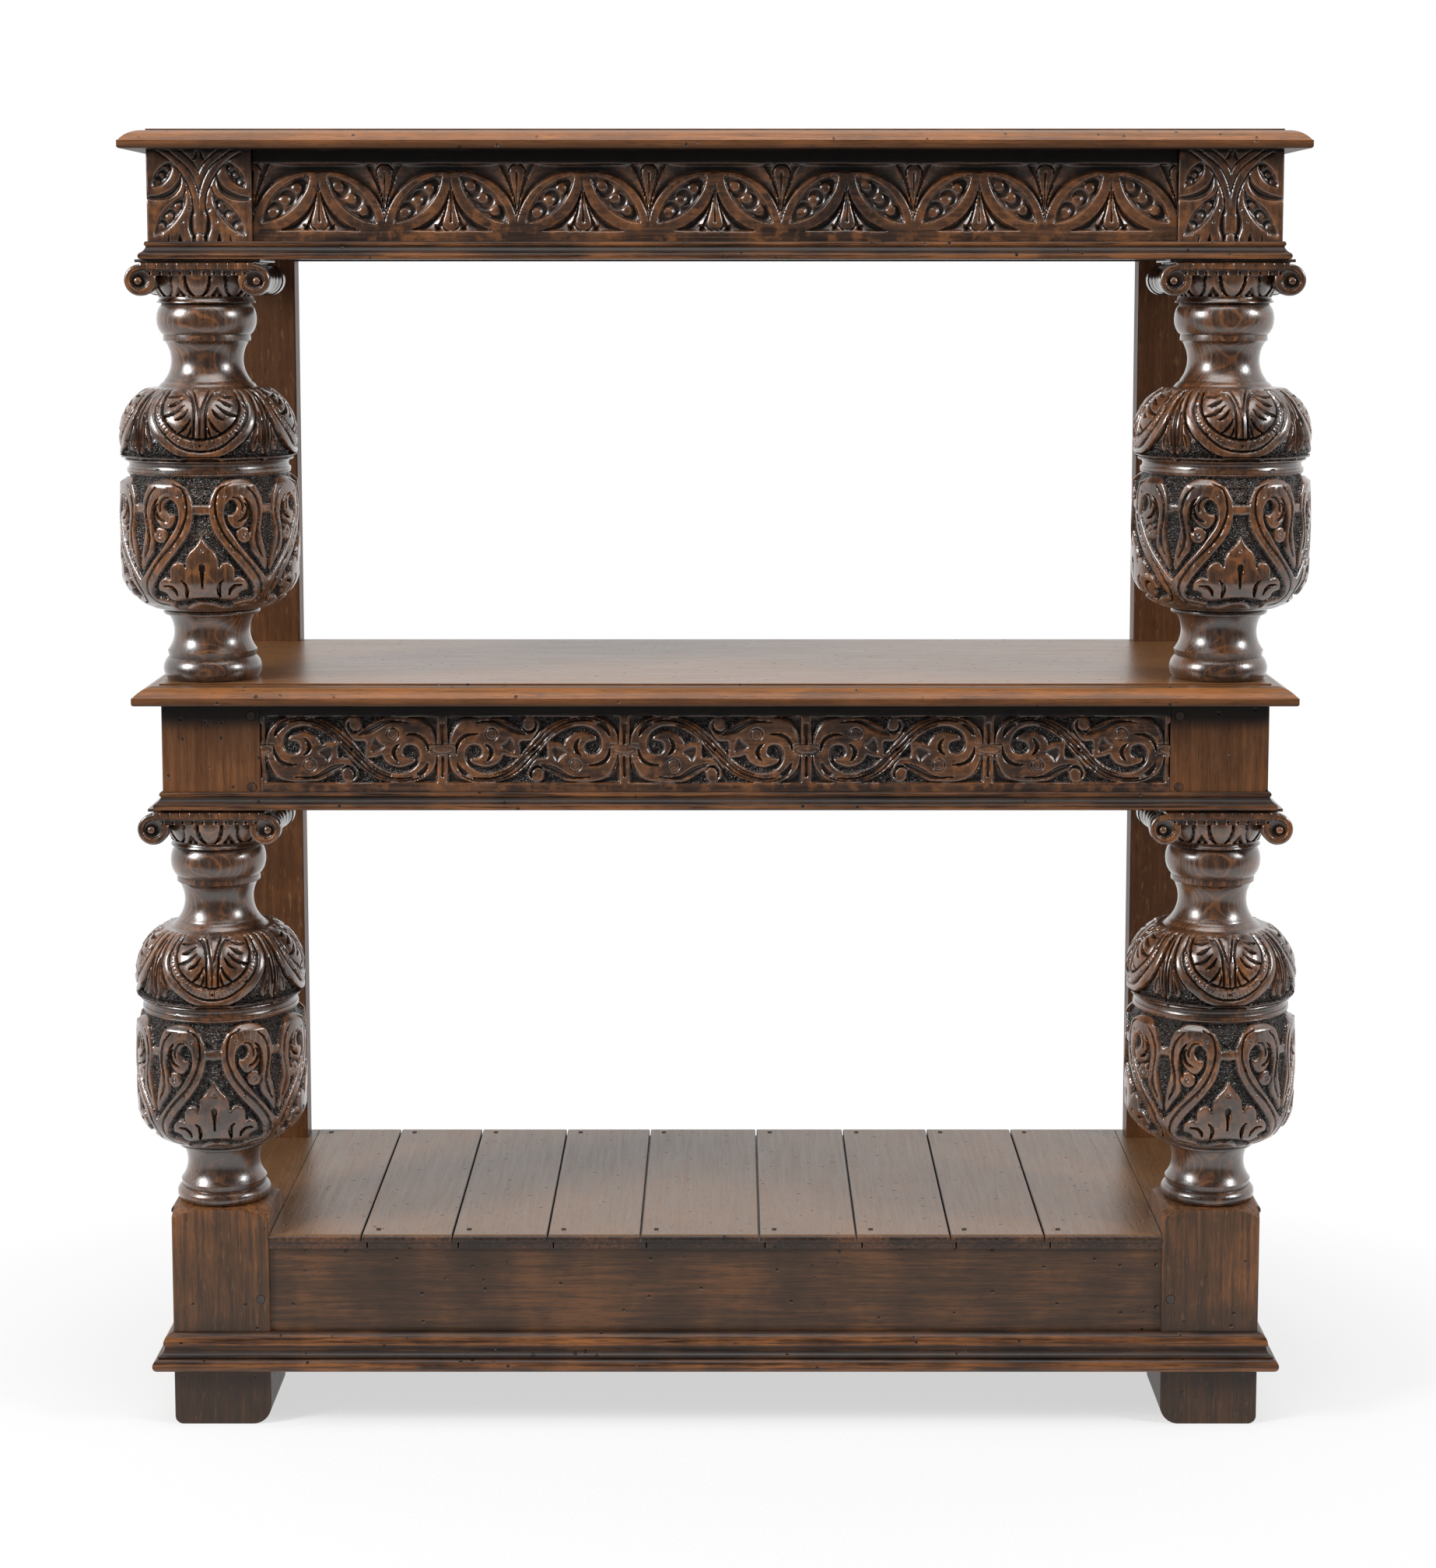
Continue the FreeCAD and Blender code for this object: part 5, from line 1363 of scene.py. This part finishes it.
def waxed_oak(name, axis, colours, carved=False, bands=None, dust_and_sheen=0.0, gloss=0.36, seed=0.0,
              turned=False, warm=0.0, dry=0.0, polish=0.65, shine=0.5, flecks=0.0, knocked=0.0):
    """Old waxed oak: long dark streaks, open pores, grime and painted shade in the cuts, and rubbed edges.
    """
    material, tree, place = new_finish(name)
    bright, grey, recess = linear(colours.worn), linear(colours.dust_and_sheen), linear(colours.recess)
    # streaks about 4 mm wide and 110 mm long give the plank its figure
    streaks = along_grain(tree, place, axis, 4.0, 110.0, (seed, seed * 1.7, seed * 0.6))
    figure = noise(tree, streaks, 1.0, 6.0, 0.68, 0.5)
    # pores about 0.7 mm wide, drawn a little coarser than real ones so that they show
    pores = noise(tree, along_grain(tree, place, axis, 0.75, 15.0), 1.0)
    # patches a hand wide, where the wax has darkened unevenly
    patches = noise(tree, place, 1000 / 90.0, 3.0, 0.6)
    spread = 0.4 if turned else 0.24
    tone = span(tree, maths(tree, "ADD", figure, patches), 1 - spread, 1 + spread)
    wood = ramp(tree, tone, (
        (0.12, linear(colours.dark)), (0.52, linear(colours.oak)), (0.95, linear(colours.light))))
    wood = blend(tree, warm, wood, bright)
    wood = blend(tree, dry, wood, grey)
    if flecks:
        # pale scuffs four millimetres wide and longer with the grain
        scuffs = noise(tree, along_grain(tree, place, axis, 4.0, 17.0), 1.0, 3.0, 0.6)
        wood = blend(tree, span(tree, scuffs, 0.6, 0.7, 0.0, flecks), wood, grey)
    if carved:
        # the wax has rubbed off in spots about a fingertip wide, where the oak shows orange
        spots = noise(tree, place, 1000 / 13.0, 4.0, 0.62)
        wood = blend(tree, span(tree, spots, 0.5, 0.66, 0.0, 0.3 if turned else 0.45), wood, bright)
    if turned:
        # year rings lie nearly flat, face to back, so that a bulge cuts them in ovals
        bent = add(tree, "ShaderNodeTexNoise", {"Vector": place, "Scale": 1000 / 60.0, "Detail": 2.0})
        drift = add(tree, "ShaderNodeVectorMath", {0: bent.outputs["Color"], 3: 0.022}, operation="SCALE")
        shifted = add(tree, "ShaderNodeVectorMath", {0: place, 1: drift.outputs[0]}).outputs[0]
        rings = add(tree, "ShaderNodeTexWave", {
            "Vector": shifted, "Scale": math.pi / 10 / RING_PITCH, "Detail": 1.0}, bands_direction="Y")
        lines = span(tree, rings.outputs["Fac"], 0.8, 1.0, 0.0, 0.5)
        lines = maths(tree, "MULTIPLY", lines, span(tree, patches, 0.42, 0.62))
        wood = blend(tree, lines, wood, bright)
    upward = None
    if dust_and_sheen:
        # faces that look up are greyed and lightened: dust in part, a painted sheen in part
        facing = add(tree, "ShaderNodeNewGeometry").outputs["True Normal"]
        upward = span(tree, add(tree, "ShaderNodeSeparateXYZ", {0: facing}).outputs[2], 0.7, 0.95)
        wood = blend(tree, maths(tree, "MULTIPLY", upward, dust_and_sheen), wood, grey)
    worn = dirt_and_shade = ground = None
    if carved:
        # the carving's points carry its punched ground, the darkening of its hollows (old wax in part,
        # painted shade and the painted shadow under the boards in part) and its rubbed edges
        carving = add(tree, "ShaderNodeAttribute", attribute_type="GEOMETRY", attribute_name="carving")
        parts = add(tree, "ShaderNodeSeparateColor", {0: carving.outputs["Color"]}).outputs
        ground, dirt_and_shade, worn = parts[0], parts[1], parts[2]
    if bands:
        low, high, stops = bands
        rise = span(tree, add(tree, "ShaderNodeSeparateXYZ", {0: place}).outputs[2], low, high)
        worn = ramp(tree, rise, tuple((at, (value, value, value, 1.0)) for at, value, _ in stops))
        dirt_and_shade = ramp(tree, rise, tuple((at, (value, value, value, 1.0)) for at, _, value in stops))
    if worn is not None:
        # on a moulding the wear follows the streaks, on carving small knocks break it up
        pattern = figure if bands else noise(tree, place, 1000 / 7.0, 3.0, 0.6)
        broken = span(tree, pattern, 0.4, 0.58, 0.1, 0.5 if carved else 0.9)
        rubbed = maths(tree, "MULTIPLY", worn, broken)
        rubbed = maths(tree, "MULTIPLY", rubbed, span(tree, patches, 0.35, 0.6, 0.3, 1.0))
        wood = blend(tree, rubbed, wood, bright)
    wood = blend(tree, span(tree, pores, 0.56, 0.7, 0.0, 0.55), wood, recess)
    # roughness follows the streaks: closed wood is polished by the wax, pores stay dull
    rough = span(tree, figure, 0.3, 0.7, gloss - 0.05, gloss + 0.12)
    normal = bump(tree, pores, 0.16, 0.0006, invert=True)
    normal = bump(tree, figure, 0.1 if turned else 0.2, 0.0012, normal)
    wax = None
    # wax shines on what is touched, and the darkened cuts, old wax and painted shade, are duller
    matt = dirt_and_shade
    if ground is not None:
        # wax and dust settle between the punch marks, round pits 2.1 mm apart that sparkle
        wood = blend(tree, maths(tree, "MULTIPLY", ground, 0.8), wood, recess)
        pits = add(tree, "ShaderNodeTexVoronoi", {"Vector": place, "Scale": 1000 / 2.1})
        pits = maths(tree, "MULTIPLY", pits.outputs["Distance"], ground)
        normal = bump(tree, pits, 1.0, 0.0016, normal)
        wax = bump(tree, pits, 1.0, 0.0016)
        matt = maths(tree, "MAXIMUM", dirt_and_shade, ground)
    if dirt_and_shade is not None:
        # darkening of the cuts and hollows, old wax in part and painted shade in part, with the painted
        # shadow under the boards
        wood = blend(tree, dirt_and_shade, wood, recess)
        rough = maths(tree, "MULTIPLY_ADD", dirt_and_shade, 0.12, rough)
        polish = span(tree, matt, 0.0, 1.0, polish, 0.4)
        shine = span(tree, matt, 0.0, 1.0, shine, 0.3)
    if knocked:
        # dents 3 mm across, a few centimetres apart, whose rims catch the light
        dents = add(tree, "ShaderNodeTexVoronoi", {"Vector": place, "Scale": 1000 / 13.0})
        dent = span(tree, dents.outputs["Distance"], 0.08, 0.16, knocked, 0.0)
        chosen = add(tree, "ShaderNodeSeparateColor", {0: dents.outputs["Color"]}).outputs[0]
        dent = maths(tree, "MULTIPLY", dent, span(tree, chosen, 0.5, 0.7))
        wood = blend(tree, dent, wood, recess)
        normal = bump(tree, dent, 1.0, 0.0014, normal, invert=True)
        wax = bump(tree, dent, 1.0, 0.0014, invert=True)
    if upward is not None:
        polish = span(tree, upward, 0.0, 1.0, 0.1, 0.2)
        rough = maths(tree, "MULTIPLY_ADD", upward, -0.1, rough)
    shader = add(tree, "ShaderNodeBsdfPrincipled", {
        "Base Color": wood, "Roughness": rough, "Normal": normal, "IOR": 1.5, "Specular IOR Level": shine,
        "Coat Weight": polish, "Coat Roughness": 0.24, "Coat IOR": 1.45})
    if wax is not None:
        tree.links.new(wax, shader.inputs["Coat Normal"])
    add(tree, "ShaderNodeOutputMaterial", {"Surface": shader.outputs[0]})
    return material


def forged_iron(name, colours):
    """Cut nails gone black with age and wax: dark, uneven and a little shiny."""
    material, tree, place = new_finish(name)
    scale = noise(tree, place, 1000 / 2.5, 3.0)
    tone = ramp(tree, scale, ((0.35, linear(colours.iron)), (0.7, linear(colours.dark))))
    shader = add(tree, "ShaderNodeBsdfPrincipled", {
        "Base Color": tone, "Roughness": 0.55, "Metallic": 0.4, "Normal": bump(tree, scale, 0.4, 0.0004)})
    add(tree, "ShaderNodeOutputMaterial", {"Surface": shader.outputs[0]})
    return material


def studio_floor(name, colours):
    """Seamless paper: white to the eye of the camera, and it keeps the soft shadow."""
    material, tree, place = new_finish(name)
    fibre = noise(tree, place, 1000 / 3.0)
    tone = ramp(tree, fibre, ((0.3, linear(colours.floor)), (0.7, linear(colours.floor_light))))
    paper = add(tree, "ShaderNodeBsdfPrincipled", {"Base Color": tone, "Roughness": 0.9})
    light = add(tree, "ShaderNodeEmission", {"Color": linear("ffffff"), "Strength": 1.0})
    # the paper keeps its shadow under and near the cupboard, and burns out to white further away
    flat = add(tree, "ShaderNodeMapping", {"Vector": place, "Scale": SHADOW_SCALE,
                                           "Location": SHADOW_SHIFT}).outputs[0]
    away = add(tree, "ShaderNodeVectorMath", {0: flat}, operation="LENGTH").outputs["Value"]
    path = add(tree, "ShaderNodeLightPath").outputs
    seen = maths(tree, "MAXIMUM", path["Is Camera Ray"], path["Is Glossy Ray"])
    share = maths(tree, "MULTIPLY", seen, span(tree, away, *SHADOW_REACH, SHADOW_SHARE, 1.0))
    mix = add(tree, "ShaderNodeMixShader", {0: share, 1: paper.outputs[0], 2: light.outputs[0]})
    add(tree, "ShaderNodeOutputMaterial", {"Surface": mix.outputs[0]})
    return material


def paint(piece, material):
    """Give a piece one finish."""
    piece.data.materials.clear()
    piece.data.materials.append(material)


def finish(name, colours):
    """The finish of that name, made once."""
    found = bpy.data.materials.get(name)
    if found:
        return found
    if name == "aged_iron":
        return forged_iron(name, colours)
    settings = dict(FINISHES[name])
    if "bands" in settings:
        node, stops = settings["bands"]
        low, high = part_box(node)
        settings["bands"] = (low[2], high[2], stops)
    return waxed_oak(name, colours=colours, **settings)


def timber_finish(node):
    """The name of the finish that a plain timber takes."""
    if "_moulding_" in node:
        level, side = node.split("_moulding_")
        return "waxed_oak_" + level + "_moulding_" + ("front" if side == "front" else "side")
    if "_rail_" in node:
        return "waxed_oak_rails" if node.endswith(("_front", "_back")) else "waxed_oak_side_rails"
    for start, name in TIMBER_FINISHES:
        if node.startswith(start):
            return name
    return "waxed_oak_posts"


# Operators, one for each group of like pieces


class CUPBOARD_OT_carve_supports(bpy.types.Operator):
    """Turn and carve the four cup-and-cover supports"""
    bl_idname = "cupboard.carve_supports"
    bl_label = "Carve Supports"

    def execute(self, context):
        sizes, colours = context.scene.cupboard_carving, context.scene.cupboard_colours
        material = finish("waxed_oak_turned", colours)
        for seed, level in enumerate(("upper", "lower"), start=1):
            piece = carve_baluster(level + "_baluster_left", sizes, seed * 10)
            paint(piece, material)
            seat_pair(piece, level + "_baluster_left", level + "_baluster_right")
        return {"FINISHED"}


class CUPBOARD_OT_carve_capitals(bpy.types.Operator):
    """Carve the four scroll capitals with egg and dart"""
    bl_idname = "cupboard.carve_capitals"
    bl_label = "Carve Capitals"

    def execute(self, context):
        material = finish("waxed_oak_turned", context.scene.cupboard_colours)
        for level in ("upper", "lower"):
            piece = carve_capital(level + "_capital_left")
            paint(piece, material)
            seat_pair(piece, level + "_capital_left", level + "_capital_right")
        return {"FINISHED"}


def rebated_foot(node, low, high, top):
    """The lower end of a corner block, set back behind the moulding."""
    inset = box_mm("upper_frieze_rail_front")[0][1] - low[1]
    x_low = low[0] + inset * (low[0] < 0)
    x_high = high[0] - inset * (low[0] >= 0)
    return squared(node + "_foot", (x_low, low[1] + inset, low[2]), (x_high, high[1], top), 0.3)


def carve_rail(level, relief, step, colours):
    """The carved front rail of a frieze between its corner blocks; gives the height of its foot."""
    node = level + "_frieze_rail_front"
    low, high = box_mm(node)
    inner = box_mm(level + "_frieze_block_right")[0][0]
    foot = box_mm(level + "_frieze_moulding_front")[1][2]
    rail = carved_board(level + "_frieze_rail_carved", (-inner, inner), (foot, high[2]), low[2], low[1],
                        high[1] - low[1], step, relief, RAIL_SEED[level], RAIL_WEAR[level])
    paint(rail, finish("waxed_oak_carved", colours))
    seat(rail, node)
    return foot


class CUPBOARD_OT_carve_upper_frieze(bpy.types.Operator):
    """Carve the lunettes of the upper frieze rail and its two corner blocks"""
    bl_idname = "cupboard.carve_upper_frieze"
    bl_label = "Carve Upper Frieze"

    def execute(self, context):
        sizes, colours = context.scene.cupboard_carving, context.scene.cupboard_colours
        depth = sizes.frieze_depth / MM
        step = sizes.frieze_step / MM
        foot = carve_rail("upper", lambda x, z: lunette_height(x, z, depth), step, colours)
        for side in ("left", "right"):
            node = "upper_frieze_block_" + side
            low, high = box_mm(node)
            middle = (low[0] + high[0]) / 2
            block = carved_board(node + "_carved", (low[0], high[0]), (foot, high[2]), foot, low[1],
                                 high[1] - low[1], step,
                                 lambda x, z, m=middle: corner_height(x - m, z - foot, depth),
                                 BLOCK_SEED[side], BLOCK_WEAR, BLOCK_SHADOW)
            block = joined([block, rebated_foot(node, low, high, foot)], node + "_carved")
            paint(block, finish("waxed_oak_block", colours))
            seat(block, node)
        return {"FINISHED"}


class CUPBOARD_OT_carve_middle_frieze(bpy.types.Operator):
    """Carve the scrolls of the middle frieze rail"""
    bl_idname = "cupboard.carve_middle_frieze"
    bl_label = "Carve Middle Frieze"

    def execute(self, context):
        sizes, colours = context.scene.cupboard_carving, context.scene.cupboard_colours
        depth = sizes.scroll_depth / MM
        carve_rail("middle", lambda x, z: scroll_height(x, z, depth), sizes.frieze_step / MM, colours)
        return {"FINISHED"}


class CUPBOARD_OT_finish_timbers(bpy.types.Operator):
    """Give boards, posts, rails, mouldings, pegs and nails their finish"""
    bl_idname = "cupboard.finish_timbers"
    bl_label = "Finish Timbers"

    def execute(self, context):
        colours = context.scene.cupboard_colours
        for node, piece in nodes.items():
            material = finish(timber_finish(node), colours)
            for slot in piece.material_slots:
                slot.material = material
            if not piece.material_slots:
                piece.data.materials.append(material)
        return {"FINISHED"}


class CUPBOARD_OT_set_stage(bpy.types.Operator):
    """Floor, lamps, world and camera"""
    bl_idname = "cupboard.set_stage"
    bl_label = "Set Stage"

    def execute(self, context):
        scene = context.scene
        colours, stage = scene.cupboard_colours, scene.cupboard_stage
        bpy.ops.object.select_all(action="DESELECT")
        # the paper ends before the camera, so that upright faces mirror the dim room, not the paper
        bpy.ops.mesh.primitive_plane_add(size=FLOOR_SIZE, location=(0, FLOOR_MIDDLE, 0))
        floor = context.object
        floor.name = "studio_floor"
        bpy.ops.object.transform_apply(location=True, rotation=True, scale=True)
        paint(floor, studio_floor("seamless_paper", colours))
        for name, place, target, size, power in LAMPS:
            bpy.ops.object.light_add(type="AREA", location=place)
            lamp = context.object
            lamp.name = name
            lamp.data.shape = "RECTANGLE"
            lamp.data.size, lamp.data.size_y = size
            lamp.data.energy = power * stage.lamp_level
            direction = np.array(target) - np.array(place)
            flat = math.hypot(direction[0], direction[1])
            lamp.rotation_euler = (math.pi / 2 - math.atan2(-direction[2], flat), 0,
                                   math.atan2(direction[1], direction[0]) - math.pi / 2)
        world = bpy.data.worlds.new("studio_white")
        scene.world = world
        world.use_nodes = True
        tree = world.node_tree
        tree.nodes.clear()
        # the room behind the camera is dim in the polish, the backdrop behind the cupboard is white
        path = add(tree, "ShaderNodeLightPath").outputs
        incoming = add(tree, "ShaderNodeNewGeometry").outputs["Incoming"]
        towards = add(tree, "ShaderNodeSeparateXYZ", {0: incoming}).outputs[1]
        room = span(tree, towards, *ROOM_EDGE, 1.0, FRONT_LEVEL)
        shiny = maths(tree, "MAXIMUM", path["Is Glossy Ray"], path["Is Transmission Ray"])
        level = add(tree, "ShaderNodeMix", {0: shiny, 2: WORLD_LEVEL, 3: room}).outputs[0]
        level = maths(tree, "MAXIMUM", level, path["Is Camera Ray"])
        sky = add(tree, "ShaderNodeBackground", {"Color": linear("ffffff"), "Strength": level})
        add(tree, "ShaderNodeOutputWorld", {"Surface": sky.outputs[0]})
        bpy.ops.object.camera_add(location=CAMERA_PLACE,
                                  rotation=(math.pi / 2 - math.radians(CAMERA_PITCH), 0, 0))
        camera = context.object
        camera.name = "photo_camera"
        camera.data.lens = stage.focal_length * 1000
        camera.data.sensor_width = SENSOR_WIDTH
        camera.data.sensor_fit = "AUTO"
        camera.data.shift_x, camera.data.shift_y = CAMERA_SHIFT
        camera.data.clip_end = CLIP_END
        scene.camera = camera
        scene.view_settings.view_transform = "Standard"
        return {"FINISHED"}


class CUPBOARD_PT_panel(bpy.types.Panel):
    """Sizes, colours and steps of the cupboard"""
    bl_label = "Court Cupboard"
    bl_idname = "CUPBOARD_PT_panel"
    bl_space_type = "VIEW_3D"
    bl_region_type = "UI"
    bl_category = "Cupboard"

    def draw(self, context):
        layout = self.layout
        for name in SETTINGS:
            settings = getattr(context.scene, name)
            column = layout.column(align=True)
            for key in settings.__annotations__:
                column.prop(settings, key)
        for step in STEPS:
            layout.operator(step.bl_idname)


SETTINGS = {
    "cupboard_carving": CupboardCarving,
    "cupboard_colours": CupboardColours,
    "cupboard_stage": CupboardStage,
}
STEPS = (
    CUPBOARD_OT_set_stage,
    CUPBOARD_OT_finish_timbers,
    CUPBOARD_OT_carve_supports,
    CUPBOARD_OT_carve_capitals,
    CUPBOARD_OT_carve_upper_frieze,
    CUPBOARD_OT_carve_middle_frieze,
)


def register():
    """Add the settings, operators and panel."""
    for name, settings in SETTINGS.items():
        bpy.utils.register_class(settings)
        setattr(bpy.types.Scene, name, bpy.props.PointerProperty(type=settings))
    for step in STEPS:
        bpy.utils.register_class(step)
    bpy.utils.register_class(CUPBOARD_PT_panel)


def unregister():
    """Take them away again."""
    bpy.utils.unregister_class(CUPBOARD_PT_panel)
    for step in reversed(STEPS):
        bpy.utils.unregister_class(step)
    for name, settings in SETTINGS.items():
        delattr(bpy.types.Scene, name)
        bpy.utils.unregister_class(settings)


def main():
    """Build the visible cupboard."""
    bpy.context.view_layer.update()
    register()
    for step in STEPS:
        group, name = step.bl_idname.split(".")
        getattr(getattr(bpy.ops, group), name)()


if __name__ == "__main__":
    main()
